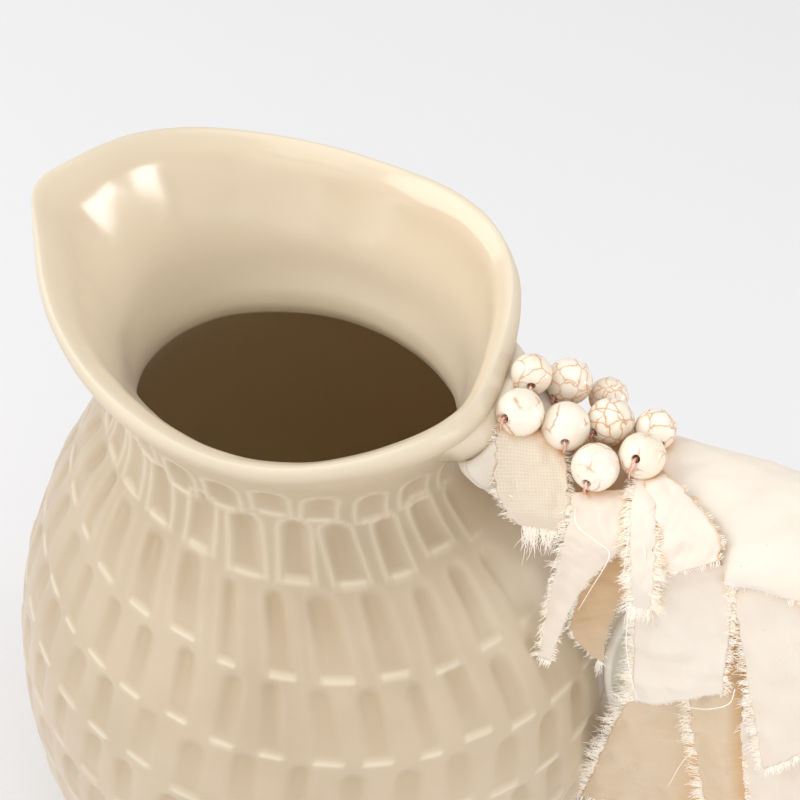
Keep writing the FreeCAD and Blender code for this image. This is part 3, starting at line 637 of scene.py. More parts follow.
def thread_mesh(name, lines, radius, sides=4):
    """Many tubes at once: two ways across each thread times cosine and sine, times a tapering radius."""
    ahead = unit(np.gradient(lines, axis=1))
    helper = np.where(np.abs(ahead[..., :1]) < 0.8, np.array([1.0, 0, 0]), np.array([0, 1.0, 0]))
    across = unit(np.cross(ahead, helper))
    upright = np.cross(ahead, across)
    angle = np.linspace(0, math.tau, sides, endpoint=False)[None, None, :, None]
    taper = 1 - 0.45 * np.linspace(0, 1, lines.shape[1])[None, :, None, None] ** 3
    size = np.broadcast_to(np.asarray(radius, float), lines.shape[:1])[:, None, None, None] * taper
    round_way = across[:, :, None] * np.cos(angle) + upright[:, :, None] * np.sin(angle)
    rings = lines[:, :, None] + round_way * size
    first, last = (np.broadcast_to(lines[:, end][:, None, None], rings[:, :1].shape) for end in (0, -1))
    rings = np.concatenate([first, rings, last], axis=1)
    cells = grid_faces(rings.shape[1], sides, columns_close=True)
    thread_starts = np.arange(len(lines)) * rings.shape[1] * sides
    faces = (cells[None] + thread_starts[:, None, None]).reshape(-1, 4)
    return put_mesh(name, rings, faces, thread_finish)


def fringe_lines(edge, inner, spacing, length, seed, droop=0.25):
    """Thread lines from an edge: start + way * length * t, bent sideways by a sine and down by t squared."""
    rng = np.random.default_rng(seed)
    run = run_along(edge)
    count = max(int(run[-1] / spacing), 6)
    places = np.sort(rng.uniform(0, run[-1], count))
    start, from_inner, along = (along_line(line, run, places)
                                for line in (edge, edge - inner, np.gradient(edge, axis=0)))
    tuft = 0.5 * np.sin(places / 1.9 + seed) + 0.5 * np.sin(places / 0.83 + 2 * seed)
    way = unit(unit(from_inner) + unit(along) * (0.40 * tuft + 0.16 * rng.normal(size=count))[:, None]
               + FRONT * rng.normal(0.08, 0.20, count)[:, None])
    reach = length * rng.uniform(0.45, 1.35, count) * (0.8 + 0.5 * np.abs(tuft))
    t = np.linspace(0, 1, 7)[None, :, None]
    curl = rng.normal(0, 0.14, (count, 1, 3)) * reach[:, None, None]
    lines = (start - way * 0.5)[:, None] + way[:, None] * (reach + 0.5)[:, None, None] * t
    lines = lines + curl * np.sin(t * rng.uniform(2, 5, (count, 1, 1)))
    return lines - UP * (droop * reach[:, None, None] * t ** 2)


print("threads are", 2 * THREAD_RADIUS, "mm thick")

# %% [markdown]
# ## Torn strips
#
# The strips could be dropped on the handle by a cloth simulation, but each would then lie where chance puts
# it. They are short and hang nearly straight, so each is a sheet between a left and a right edge that run
# down through a few stations. Across, a soft wave makes its folds. The long edges are torn, so they wander by
# a fraction of a millimetre and carry a fringe. The cut is flat before it hangs, so each strip also says its
# flat width and length. A lobe is a small sheet between two free curves in space, for what curls or twists.

# %% The strap under the cloth
top_run = handle_fine[:115]
SLEEVE_SKIN = 0.3 + 1.5  # air and wound cloth on the strap
REACH, CREST = 130.0, 199.5  # the strips' stations are shares of these: distance out and level


def strap_level(along):
    """Level of the strap's middle at a distance out on its top run."""
    return np.interp(along, top_run[:, 0], top_run[:, 1])


def strap_half_wide(along):
    """Half the strap's width at a distance out: its share times the half width."""
    return np.interp(along, top_run[:, 0], top_run[:, 2]) * STRAP_HALF_WIDE


def strap_half_tall(along):
    """Half the strap's thickness at a distance out: its share times the half thickness."""
    return np.interp(along, top_run[:, 0], top_run[:, 3]) * STRAP_HALF_TALL


print(f"top run: {top_run[0, 0]:.0f} to {top_run[-1, 0]:.0f} mm out")

# %% Sheet maker
LEAST_FLAT = 10.05  # mm, the least flat width that is given for a sheet's cut
ON_SLEEVE = ("wrap_sleeve",)


def sheet_piece(name, grid, finish, flat_way, held, rests, tone_and_shade=None, thickness=0.42, offset=-1.0):
    """Sheet from a grid: UV is the run along the middle row and column, the flat width is area / length."""
    middle_row, middle_column = grid[len(grid) // 2], grid[:, grid.shape[1] // 2]
    across, down = run_along(middle_row), run_along(middle_column)
    uv = np.stack(np.meshgrid(across, down), axis=-1)
    piece = put_mesh(name, grid, grid_faces(*grid.shape[:2]), finish, closed=False, uv=uv,
                     values={"tone_and_shade": np.zeros(grid.shape[:2]) if tone_and_shade is None else tone_and_shade})
    wall_maker = piece.modifiers.new("cloth_wall", "SOLIDIFY")
    wall_maker.thickness = thickness * MM
    wall_maker.offset = offset
    cells = np.cross(grid[1:, 1:] - grid[:-1, :-1], grid[1:, :-1] - grid[:-1, 1:])
    area = np.linalg.norm(cells, axis=-1).sum() / 2
    lines = np.swapaxes(grid, 0, 1) if flat_way == "down" else grid
    length = float(np.mean([run_along(lines[k])[-1] for k in (0, len(lines) // 2, -1)]))
    flat = (max(area / length, LEAST_FLAT) * MM, max(length, LEAST_FLAT) * MM)
    print(f"{name}: cut {flat[0] / MM:.0f} by {flat[1] / MM:.0f} mm")
    return piece, flat, held, rests, min(1.0, area * MM * MM / (flat[0] * flat[1]))


def finish_sheet(made, nodes, fringes=()):
    piece, flat, held, rests, share = made
    settle(piece, "pitcher", "torn_cloth", *nodes)
    for tuft in fringes:
        settle(tuft, "pitcher", "torn_cloth")


print("no sheet is declared narrower than", LEAST_FLAT, "mm")

# %% Strip maker


def hanging_grid(stations, folds, seed, rows=96, columns=52, ragged=0.35, crumple=0.0):
    """Sheet grid: left edge * (1 - w) + right edge * w, a fold wave to the front, and wandering edges."""
    stations = np.asarray(stations, float)
    runs = np.linspace(0, 1, len(stations))
    down = through(stations, runs, np.linspace(0, 1, rows))
    left_along, left_up, right_along, right_up, left_lift, right_lift, fold = down.T[:, :, None]
    w = np.linspace(0, 1, columns)[None, :]
    along = REACH * (left_along + (right_along - left_along) * w)
    up = CREST * (left_up + (right_up - left_up) * w)
    lift = left_lift + (right_lift - left_lift) * w
    wave = fold * np.sin(w * math.pi * folds + seed)
    above = np.clip((up - strap_level(along)) / (strap_half_tall(along) + SLEEVE_SKIN + 1.2), 0, 0.97)
    on_sleeve = (strap_half_wide(along) + SLEEVE_SKIN) * np.sqrt(1 - above ** 2)
    grid = hang(along, on_sleeve + STRAP_HALF_WIDE * (lift + wave), up)
    creases = 0.42 * soft_noise(grid, 9, seed + 20) + crumple * soft_noise(grid, 5, seed + 21)
    grid = grid + FRONT * creases[..., None]
    edge_noise = soft_noise(grid, 3.2, seed + 40) * 0.6 + soft_noise(grid, 1.4, seed + 41) * 0.4
    near_edge = (w * 2 - 1) ** 9 * ragged * 0.6
    across = unit(grid[:, -1:] - grid[:, :1])
    grid = grid + across * (near_edge * edge_noise)[..., None]
    hem = np.linspace(0, 1, rows)[:, None] ** 12 * ragged
    return grid - UP * (hem * edge_noise)[..., None]


def strip(name, stations, folds, seed, finish, tone_and_shade, fringe, ragged=0.35, crumple=0.0):
    """One torn strip: its four warm tones, (top, bottom, left, right), eased inwards, are partly the cotton's
    own tone and partly painted shade where the strip lies under or beside others, and fringe is a length per
    edge.
    """
    grid = hanging_grid(stations, folds, seed, ragged=ragged, crumple=crumple)
    t, w = np.meshgrid(np.linspace(0, 1, grid.shape[0]), np.linspace(0, 1, grid.shape[1]), indexing="ij")
    top, bottom, left, right = tone_and_shade
    tone = (top * (1 - ease(t / 0.45)) + bottom * ease((t - 0.5) / 0.5)
            + left * (1 - ease(w / 0.35)) + right * ease((w - 0.65) / 0.35))
    made = sheet_piece(name, grid, finish, "down", "hung", ON_SLEEVE, np.clip(tone, 0, 1))
    lines = []
    for side, (edge, inner) in {"left": (grid[:, 0], grid[:, 4]), "right": (grid[:, -1], grid[:, -5]),
                                "hem": (grid[-1], grid[-6])}.items():
        if fringe.get(side):
            lines.append(fringe_lines(edge, inner, 0.13, fringe[side], seed + len(lines)))
    finish_sheet(made, [name], [thread_mesh(name + "_fringe", np.concatenate(lines), THREAD_RADIUS)])


# %% Lobe maker


def lobe(left, right, stand, crest, seed, rows=84, columns=60):
    """Grid between two edge curves: left * (1 - w) + right * w, pushed out in the middle, with creases."""
    down = np.linspace(0, 1, rows)
    knots_here = np.linspace(0, 1, len(left))
    first, second = (through(np.array(edge), knots_here, down) for edge in (left, right))
    w = np.linspace(0, 1, columns)[None, :, None]
    flat = first[:, None] * (1 - w) + second[:, None] * w
    grid = hang(flat[..., 0], flat[..., 1], flat[..., 2])
    swell = np.sin(math.pi * w[..., 0]) * np.sin(math.pi * np.clip(down * 0.9 + 0.08, 0, 1))[:, None]
    crease = 0.42 * soft_noise(grid, 7, seed) + 0.2 * soft_noise(grid, 3.2, seed + 1)
    grid = grid + (FRONT * 0.55 + UP * 0.83) * (stand + crest * swell + crease)[..., None]
    wander = 0.35 * soft_noise(grid, 2.2, seed + 2) * (2 * w[..., 0] - 1) ** 9
    return grid + unit(grid[:, -1:] - grid[:, :1]) * wander[..., None]


def put_lobe(name, grid, finish, held, rests, tone_and_shade, fringes):
    """Sheet from a lobe's grid, with fringes: for each edge the spacing and the length of its threads."""
    edges = {"left": (grid[:, 0], grid[:, 5]), "right": (grid[6:, -1], grid[6:, -6]),
             "hem": (grid[-1], grid[-6])}
    lines = [fringe_lines(*edges[side], *numbers, len(name) + turn) for turn, (side, numbers) in
             enumerate(fringes.items())]
    made = sheet_piece(name, grid, finish, "down", held, rests, np.broadcast_to(tone_and_shade, grid.shape[:2]))
    finish_sheet(made, [name], [thread_mesh(name + "_fringe", np.concatenate(lines), THREAD_RADIUS)])


# %% [markdown]
# ## The wound cloth under the strips
#
# The handle is first wound with a smooth band at its root and then with turns of torn cotton. A real winding
# is one long band, but its turns press together and show only as slanting steps. So both are tubes of the
# strap's own oval, a little larger, and a saw wave along a helix lifts the steps.

# %% Winding


def winding(start, end, skin, steps, step_height, lean, rows=90, columns=96, rolled=0.0):
    """Tube round the strap: oval grown by a skin with a rolled start, plus a saw wave along a helix."""
    along = np.linspace(start, end, rows)
    centre = hang(along, 0.0, strap_level(along))
    skin = skin + rolled * np.sqrt(np.clip(1 - np.clip(1 - (along - start) / 2.2, 0, 1) ** 2, 0, 1))
    rings = tube_rings(centre, FRONT, strap_half_wide(along) + skin, strap_half_tall(along) + skin, columns)
    around = np.linspace(0, math.tau, columns, endpoint=False)[None, :]
    phase = (np.linspace(0, steps, rows)[:, None] + lean * np.sin(around) + around / math.tau) % 1
    lifted = step_height * (ease(phase / 0.82) - ease((phase - 0.82) / 0.18))
    lifted = lifted + 0.12 * soft_noise(rings, 5, int(start))
    rings = rings + unit(rings - centre[:, None]) * lifted[..., None]
    rings = rings + UP * root_lift(rings)[..., None]
    return np.concatenate([rings, rings[:, :1]], axis=1)


band_grid = winding(34.6, 46.4, -0.7, 2, 0.35, 0.05, rows=60, rolled=2.5)
band = sheet_piece("wrap_band", band_grid, satin, "across", "stretched", ("strap_handle",))
finish_sheet(band, ["wrap_band"])
sleeve_grid = winding(46.7, 113.0, 0.9, 9, 0.8, 0.12, rows=150)
# The winding's warm tone: partly random in the cotton, partly a warm painted shade all over, as it lies under
# the strips.
sleeve_tone_and_shade = np.clip(0.35 + 0.3 * soft_noise(sleeve_grid, 14, 5), 0, 1)
sleeve = sheet_piece("wrap_sleeve", sleeve_grid, white_cotton, "across", "stretched", ("strap_handle",),
                     sleeve_tone_and_shade)
finish_sheet(sleeve, ["wrap_sleeve"])

# %% [markdown]
# ## The hanging strips and tails
#
# Four broad strips hang over the front of the strap in two layers, the long warm ones behind. Between them
# and the belly two narrow tails hang down, and one tail hangs in front. A strip's station gives its left edge
# (out, up), its right edge (out, up), how far each edge stands off the sleeve, and the depth of its folds, as
# shares of the handle's own sizes. A tail's edges are points in millimetres: out along the handle, to the
# front and up.

# %% Long strips behind
# The four numbers after a strip's finish warm its top, bottom, left and right: partly the cotton's own tone,
# partly painted shade where the strip lies under the saddle strip or beside another one.
strip("strip_low", ((.60, .965, .74, .975, .10, .10, 0), (.635, .80, .765, .81, .19, .19, .06),
                    (.614, .64, .79, .65, .22, .22, .08), (.593, .488, .815, .51, .22, .22, .08)),
      2, 1, warm_cotton, (0.75, 0.0, 0.0, 0.45), {"left": 3.4, "right": 1.0, "hem": 2.4}, 0.6, 0.2)
strip("strip_low_right", ((.775, .975, .88, .965, .10, .10, 0), (.825, .76, .935, .78, .22, .22, .06),
                          (.891, .545, 1.0, .60, .24, .24, .06)),
      2, 2, white_cotton, (0.7, 0.1, 0.1, 0.1), {"left": 1.8, "hem": 2.2}, 0.6)
BACK_LEFT = ((66.9, 15.4, 192.5), (65.3, 16.6, 181.8), (64.8, 16.6, 171.2), (64.3, 16.4, 163.0),
             (65.9, 16.2, 156.8), (69.5, 16.0, 153.3), (72.0, 16.0, 151.6))
BACK_RIGHT = ((76.1, 15.4, 194.2), (78.0, 15.6, 186.5), (76.2, 15.6, 180.3), (73.5, 15.6, 171.1),
              (72.8, 15.6, 163.4), (72.9, 15.6, 156.9), (73.4, 15.6, 150.9))
back_grid = lobe(BACK_LEFT, BACK_RIGHT, 0.0, 0.6, 91)
# The tail is warmer towards its top, as painted shade where it hangs under the strips in front.
put_lobe("tail_back", back_grid, warm_cotton, "hung", ON_SLEEVE,
         (0.55 - 0.5 * np.linspace(0, 1, len(back_grid)))[:, None],
         {"left": (0.2, 1.4), "right": (0.3, 0.8), "hem": (0.05, 3.0)})
strip("strip_low_mid", ((.685, .97, .78, .975, .19, .19, 0), (.735, .75, .825, .76, .36, .36, .05),
                        (.82, .57, .892, .58, .38, .38, .05)),
      2, 4, warm_cotton, (1.0, 0.1, 0.0, 0.6), {"left": 2.4, "right": 1.4, "hem": 2.0}, 0.5, 0.2)

# %% Short strips in front, and two tails
TWIST_LEFT = ((57.1, 12.3, 199.0), (59.0, 15.8, 197.4), (59.5, 18.9, 192.0), (59.2, 20.2, 182.4),
              (59.4, 21.6, 173.3), (60.0, 23.1, 164.2), (60.6, 24.1, 155.6))
TWIST_RIGHT = ((69.1, 7.4, 201.6), (71.2, 12.2, 200.2), (72.1, 17.7, 196.2), (68.6, 19.6, 189.1),
               (65.5, 21.2, 180.2), (63.9, 22.9, 170.0), (62.8, 23.9, 155.3))
put_lobe("tail_twisted", lobe(TWIST_LEFT, TWIST_RIGHT, 0.4, 1.6, 95), white_cotton, "hung", ON_SLEEVE,
         0.1, {"left": (0.12, 2.2), "right": (0.2, 0.9), "hem": (0.05, 2.0)})
strip("strip_front", ((.59, 1.0, .735, 1.0, .24, .24, .012), (.592, .955, .745, .965, .34, .34, .06),
                      (.605, .87, .757, .92, .46, .46, .09), (.641, .735, .781, .808, .54, .54, .05)),
      2, 6, white_cotton, (0.15, 0.0, 0.0, 0.0), {"left": 2.6, "right": 1.6, "hem": 0.5}, 0.25, 0.15)
strip("strip_side", ((.745, 1.0, .865, 1.0, .24, .24, .012), (.755, .96, .875, .965, .34, .34, .06),
                     (.806, .87, .91, .90, .48, .48, .09), (.889, .71, .96, .775, .53, .53, .03)),
      2, 7, white_cotton, (0.2, 0.05, 0.1, 0.0), {"left": 2.4, "hem": 2.4}, 0.5)
KNOT_LEFT = ((69.5, 5.8, 203.0), (70.6, 11.7, 201.8), (72.6, 17.6, 198.8), (75.4, 21.0, 191.5),
             (77.6, 21.6, 182.2))
KNOT_RIGHT = ((72.6, 4.9, 203.7), (74.9, 10.5, 202.8), (77.4, 16.4, 200.5), (79.9, 21.0, 193.6),
              (81.2, 21.6, 183.4))
put_lobe("knot_tail", lobe(KNOT_LEFT, KNOT_RIGHT, 1.4, 0.6, 98, columns=24), white_cotton, "hung", ON_SLEEVE,
         0.0, {"left": (0.07, 2.4), "right": (0.07, 2.4), "hem": (0.05, 3.6)})

# %% [markdown]
# ## The strip over the handle
#
# The widest strip lies across the strap like a saddle cloth: up the front, over the top and down the back. It
# can't be a sheet between two edges, because it has to follow the strap's oval, so it is made of sections
# across the strap. Each is half an oval with a straight fall on each side, and they are skewed, so that the
# front hem runs out further than the crown.

# %% Saddle strip: crown's share of the reach, skew, front and back hem as shares of the crest
ON_CROWN = 0.6  # share of the turn that lies over the strap, before the straight fall
OVER = np.array([(.560, 1.25, .985, .90), (.600, .90, .985, .885), (.660, .48, .985, .86),
                 (.725, .22, .99, .84), (.84, .05, 1.0, .82)])
over_rows = through(OVER, OVER[:, 0], np.linspace(.560, .845, 90))
crown = over_rows[:, :1] * REACH
half_wide = strap_half_wide(crown) + SLEEVE_SKIN + 0.5
half_tall = strap_half_tall(crown) + SLEEVE_SKIN + 0.7
middle = strap_level(crown)
turn = np.linspace(-1, 1, 120)[None, :]
swing = np.clip(turn / ON_CROWN, -1, 1) * math.pi / 2
fall = np.clip((np.abs(turn) - ON_CROWN) / 0.4, 0, 1)
side_wide = np.where(turn < 0, half_wide + 4.3, half_wide)
hem_level = np.where(turn < 0, over_rows[:, 2:3], over_rows[:, 3:4]) * CREST
over_front = -side_wide * np.sin(swing) + 0.5 * np.sin(crown / 4.2) * fall * np.sign(-turn)
over_up = middle + half_tall * np.cos(swing) * 1.03 + (hem_level - middle) * fall
over_along = crown + over_rows[:, 1:2] * over_front
over_grid = hang(over_along, over_front, over_up)
creases = 0.4 * soft_noise(over_grid, 13, 61) + 0.14 * soft_noise(over_grid, 5, 67)
over_grid = over_grid + UP * (creases * (1 - 0.6 * fall))[..., None]
ragged_hem = 0.4 * soft_noise(over_grid, 2.6, 62) * fall ** 8
over_grid = over_grid - UP * ragged_hem[..., None]
# Painted shade: the strip is warmed at its edges and at its inner end, along the fold line beside the flap.
over_shade = 0.25 * ease((np.abs(turn) - 0.95) / 0.05) + 0.7 * (1 - ease((crown - 72.8) / 1.6)) + 0 * over_up
over_lines = [fringe_lines(over_grid[0, :70], over_grid[5, :70], 0.2, 1.6, 63),
              fringe_lines(over_grid[:, 0], over_grid[:, 6], 0.3, 0.9, 64),
              fringe_lines(over_grid[:, -1], over_grid[:, -7], 0.7, 1.2, 65),
              fringe_lines(over_grid[-1], over_grid[-6], 0.5, 1.5, 66)]
over_made = sheet_piece("strip_over", over_grid, white_cotton, "across", "laid", ON_SLEEVE, over_shade,
                        offset=0.0)
over_fringe = thread_mesh("strip_over_fringe", np.concatenate(over_lines), THREAD_RADIUS)
finish_sheet(over_made, ["strip_over"], [over_fringe])

# %% [markdown]
# ## The folded flap and the frayed end
#
# Beside the saddle strip a loose lobe of the same cloth lies folded over the front shoulder of the handle.
# Under the beads the end of the winding comes loose, an open patch of weave with a long fringe. Both are
# small, round shapes that no straight cut gives, so each is a lobe between two edge curves, pushed out a
# little in the middle, so that it stands off the cloth under it.

# %% Flap
FLAP_LEFT = ((70.9, 4.9, 203.6), (72.7, 9.8, 202.6), (75.1, 14.6, 200.8), (77.7, 18.1, 197.8),
             (81.2, 18.9, 195.3), (84.6, 19.0, 195.4))
FLAP_RIGHT = ((74.3, 2.9, 204.2), (79.0, 5.4, 205.0), (84.2, 9.1, 205.1), (88.2, 11.8, 205.0),
              (91.1, 14.8, 203.8), (91.4, 17.4, 201.0))
flap_grid = lobe(FLAP_LEFT, FLAP_RIGHT, 1.2, 0.8, 71)
# Painted shade: the flap's right edge is warmed along the fold where it meets the saddle strip.
flap_edge_shade = 0.8 * ease((np.linspace(0, 1, flap_grid.shape[1]) - 0.93) / 0.07)
put_lobe("flap_loop", flap_grid, white_cotton, "folded", ("strip_over",), flap_edge_shade,
         {"left": (0.13, 1.8), "right": (0.2, 0.9), "hem": (0.25, 1.0)})

# %% Frayed end of the winding
GAUZE_LEFT = ((37.6, 7.0, 208.4), (39.2, 13.4, 206.0), (42.2, 18.3, 199.8), (45.6, 19.8, 195.0),
              (48.8, 19.2, 191.6))
GAUZE_RIGHT = ((50.5, 2.5, 204.2), (53.0, 7.0, 203.2), (56.0, 12.2, 200.6), (57.6, 16.4, 196.8),
               (57.0, 18.2, 193.0))
put_lobe("wrap_end", lobe(GAUZE_LEFT, GAUZE_RIGHT, 0.3, 0.9, 81), gauze, "hung", ON_SLEEVE, 0.1,
         {"left": (0.2, 1.5), "right": (0.2, 1.8), "hem": (0.06, 4.4)})

# %% [markdown]
# ## Long loose threads
#
# Some threads have come right out of the weave and lie over the strips in slack curves. Each is a tube
# through a few points that lie on the cloth: out along the handle, to the front and up, in millimetres.

# %% Long loose threads
LOOSE = (
    ((58.9, 14.7, 198.8), (61.1, 19.4, 198.4), (66.3, 20.6, 197.0), (69.7, 21.3, 194.9),
     (67.5, 21.5, 181.7), (66.0, 21.6, 173.5)),
    ((70.1, 8.4, 203.8), (71.4, 15.4, 201.6), (72.7, 20.0, 197.9), (73.8, 21.2, 187.9)),
    ((71.1, 9.0, 203.8), (74.0, 18.5, 199.7), (77.2, 21.2, 188.9), (77.7, 21.2, 175.7)),
    ((71.9, 9.2, 203.7), (74.2, 16.7, 201.2), (77.2, 20.8, 197.3), (78.0, 21.2, 184.1)),
    ((45.3, 19.1, 199.5), (52.3, 18.1, 196.1), (55.0, 15.6, 197.9), (56.1, 10.4, 200.8)),
    ((97.1, 17.2, 149.0), (99.0, 17.2, 139.1), (101.6, 17.2, 137.0), (98.1, 17.2, 128.6),
     (96.4, 17.2, 115.3)),
    ((103.7, 21.2, 166.7), (103.5, 21.2, 160.8), (99.6, 21.2, 156.1), (94.6, 21.2, 153.6)),
    ((76.4, 21.2, 183.1), (77.9, 21.2, 169.0), (81.0, 21.2, 157.2), (83.9, 21.2, 149.3)),
)
loose = [through(line, np.linspace(0, 1, len(line)), np.linspace(0, 1, 40)) for line in LOOSE]
loose_lines = np.stack([hang(line[:, 0], line[:, 1], line[:, 2]) for line in loose])
settle(thread_mesh("loose_threads", loose_lines, 0.12, sides=5), "pitcher", "torn_cloth")

# %% [markdown]
# ## Crackled beads
#
# The beads are pale stone with a network of orange-brown veins, drilled and polished. A ball with a cylinder
# cut out of it would have a sharp mouth and torn faces, so each is a profile turned round its bore, with the
# bore's wall running back through it, one closed surface. The veins are the borders of a cell pattern, blown
# up so that they don't repeat from bead to bead. Each bead has its own strength, scale and width of vein.

# %% Beads: name, centre in mm, share of full size, way of the bore, strength, scale and width of the veins
BEADS = (
    ("bead_1", (39.957, 0.346, 210.535), 0.882, (-0.1779, 0.9692, -0.1702), (0.85, 300, 0.1)),
    ("bead_2", (48.024, 4.501, 206.762), 1.0, (0.4227, 0.8590, 0.2890), (0.9, 280, 0.1)),
    ("bead_3", (40.052, -11.121, 210.377), 1.0, (0.5172, 0.8056, -0.2890), (0.55, 120, 0.4)),
    ("bead_4", (50.153, -9.309, 207.600), 1.02, (-0.1642, 0.9814, -0.0993), (0.25, 150, 0.3)),
    ("bead_5", (59.186, -3.879, 206.534), 1.0, (0.5678, 0.8231, 0.0), (1.1, 320, 0.3)),
    ("bead_6", (57.245, 7.529, 201.851), 0.863, (0.2571, 0.9664, 0.0), (1.1, 400, 0.1)),
    ("bead_7", (58.546, -16.839, 205.663), 1.0, (0.1771, 0.9842, 0.0), (0.5, 225, 0.1)),
    ("bead_8", (67.615, -12.095, 207.516), 0.98, (0.2415, 0.7848, -0.5707), (0.4, 200, 0.1)),
    ("bead_9", (68.960, -2.524, 206.256), 0.882, (-0.4305, 0.9026, 0.0), (0.85, 250, 0.15)))


def crackle(name, strength, scale, width, seed):
    """Veins where two cells of a pattern meet, times a patchy noise, on warm white stone."""
    finish, tree, shader = new_finish(name, Roughness=0.24, IOR=1.52, Coat_Weight=0.25, Coat_Roughness=0.12)
    shader.inputs["Subsurface Weight"].default_value = 0.2
    shader.inputs["Subsurface Scale"].default_value = 0.002
    moved_on = {"Vector": own_place(tree), "Location": (seed * 0.37, seed * 0.11, 0)}
    where = add(tree, "Mapping", moved_on).outputs[0]
    drift = add(tree, "TexNoise", {"Vector": where, "Scale": 260.0, "Detail": 3.0}).outputs["Color"]
    bent = mixed(tree, 0.0035, where, drift, "ADD")
    cells = add(tree, "TexVoronoi", {"Vector": bent, "Scale": float(scale)}, feature="DISTANCE_TO_EDGE")
    edge = cells.outputs["Distance"]
    patchy = ramp(tree, noise(tree, where, 190.0, 2.0), 0.62 - 0.45 * strength, 0.78 - 0.45 * strength)
    line = maths(tree, "MULTIPLY", ramp(tree, edge, 0.05 + 0.04 * width, 0.0), patchy)
    stained = maths(tree, "MULTIPLY", patchy, 0.30 * strength + 0.05)
    colour = clouded(tree, where, 110.0, 0.35, 0.75, (250, 241, 227), (246, 232, 211))
    colour = mixed(tree, maths(tree, "MULTIPLY", ramp(tree, edge, 0.20, 0.0), stained), colour,
                   screen(240, 194, 136))
    feed(tree, shader.inputs["Base Color"], tinted(tree, colour, line, 0.55 + 0.4 * width, (190, 118, 72)))
    bump(tree, shader, maths(tree, "SUBTRACT", 1.0, line), 0.25, 0.0002)
    return finish


print(len(BEADS), "beads")

# %% Bead maker
BEAD_RADIUS, BORE_RADIUS = 5.25, 0.95


def bead_surface(centre, radius, bore):
    """Profile round the bore: (r sin a, r cos a) from one mouth to the other, then back along the bore."""
    mouth = math.asin(BORE_RADIUS * 1.12 / radius)
    polar = np.linspace(mouth, math.pi - mouth, 60)
    depth = math.sqrt(radius ** 2 - BORE_RADIUS ** 2) - 0.18
    profile = np.concatenate([np.stack([radius * np.sin(polar), radius * np.cos(polar)], axis=-1),
                              np.stack([np.full(9, BORE_RADIUS), np.linspace(-depth, depth, 9)], axis=-1)])
    bore = unit(np.asarray(bore, float))
    side = unit(np.cross(bore, UP))
    other = np.cross(bore, side)
    turn = np.linspace(0, math.tau, 72, endpoint=False)[None, :, None]
    points = (np.asarray(centre) + bore * profile[:, None, 1:2]
              + (side * np.cos(turn) + other * np.sin(turn)) * profile[:, None, :1])
    swell = 1 + 0.008 * soft_noise(points, 7, int(centre[0]))[..., None]
    return np.asarray(centre) + (points - np.asarray(centre)) * swell


for number, (name, centre, size, bore, (strength, scale, width)) in enumerate(BEADS, start=1):
    surface = bead_surface(centre, BEAD_RADIUS * size, bore)
    finish = crackle(f"crackle_stone_{number}", strength, scale, width, number)
    faces = grid_faces(*surface.shape[:2], rows_close=True, columns_close=True)
    settle(put_mesh(f"{name}_stone", surface, faces, finish), name, "crackle_bead", name)

# %% [markdown]
# ## Copper wire
#
# Each bead is held by a stitch of twisted copper wire: through the bore, round the bead on both sides and
# down into the cloth. One tube with a bump would look cast, so three thin strands turn round a common line,
# as in a twisted florist's wire. The line is bent from a straight run, two tight bends and two arcs.

# %% Copper finish
copper, tree, shader = new_finish("copper_wire", Metallic=1.0, Roughness=0.34)
where = own_place(tree)
feed(tree, shader.inputs["Base Color"],
     clouded(tree, where, 420.0, 0.3, 0.7, (250, 216, 200), (236, 182, 162)))
bump(tree, shader, noise(tree, where, 3000.0), 0.2, 0.00005)
print("wire finish:", copper.name)

# %% Wire stitches
STITCH_RADIUS, TWIST_PITCH, STRAND_OFFSET, STRAND_RADIUS = 5.1, 2.6, 0.21, 0.17
BEAD_OVER_STRAP = 7.5  # mm, from the strap's face to a bead's middle


def stitch_line(centre, radius, bore, down, bend=0.8):
    """Half loop: straight through the bore, a tight bend, then an arc that hugs the bead on both sides."""
    hug = bend + math.hypot(radius, bend)
    side = unit(down - bore * (down @ bore))
    reach = math.sqrt((hug - bend) ** 2 - bend ** 2)
    meet = math.atan2(bend, reach)
    corner = np.radians(np.linspace(-90, math.degrees(meet), 9))
    arc = np.linspace(meet, math.radians(82), 22)[1:]
    right = np.concatenate([np.stack([reach + bend * np.cos(corner), bend + bend * np.sin(corner)], axis=-1),
                            np.stack([hug * np.cos(arc), hug * np.sin(arc)], axis=-1)])
    flat = np.concatenate([(right * [-1, 1])[::-1], right])
    return np.asarray(centre) + flat[:, :1] * bore + flat[:, 1:] * side


def seat_down(centre):
    """Way from a bead down to the strap's oval: its two offsets, each divided by its half axis squared."""
    along = float(np.asarray(centre) @ OUT)
    wide = float(strap_half_wide(along)) + BEAD_OVER_STRAP
    tall = float(strap_half_tall(along)) + BEAD_OVER_STRAP
    level = float(strap_level(along))
    offset = np.asarray(centre) - (OUT * along + UP * level)
    return unit(-(FRONT * (offset @ FRONT) / wide ** 2 + UP * offset[2] / tall ** 2))


strands = []
for name, centre, size, bore, _ in BEADS:
    bore = unit(np.asarray(bore, float))
    line = stitch_line(centre, STITCH_RADIUS * size, bore, seat_down(centre))
    run = run_along(line)
    even = along_line(line, run, np.linspace(0, run[-1], 90))
    ahead = unit(np.gradient(even, axis=0))
    across = unit(np.cross(ahead, unit(np.cross(bore, seat_down(centre)))))
    upright = np.cross(ahead, across)
    twist = np.linspace(0, run[-1] / TWIST_PITCH * math.tau, 90)[:, None]
    strands += [even + STRAND_OFFSET * (across * np.cos(twist + phase) + upright * np.sin(twist + phase))
                for phase in (0, math.tau / 3, 2 * math.tau / 3)]
wire = thread_mesh("bead_wire_strands", np.stack(strands), STRAND_RADIUS, sides=6)
wire.data.materials[0] = copper
settle(wire, "pitcher", "copper_wire", "bead_wire")

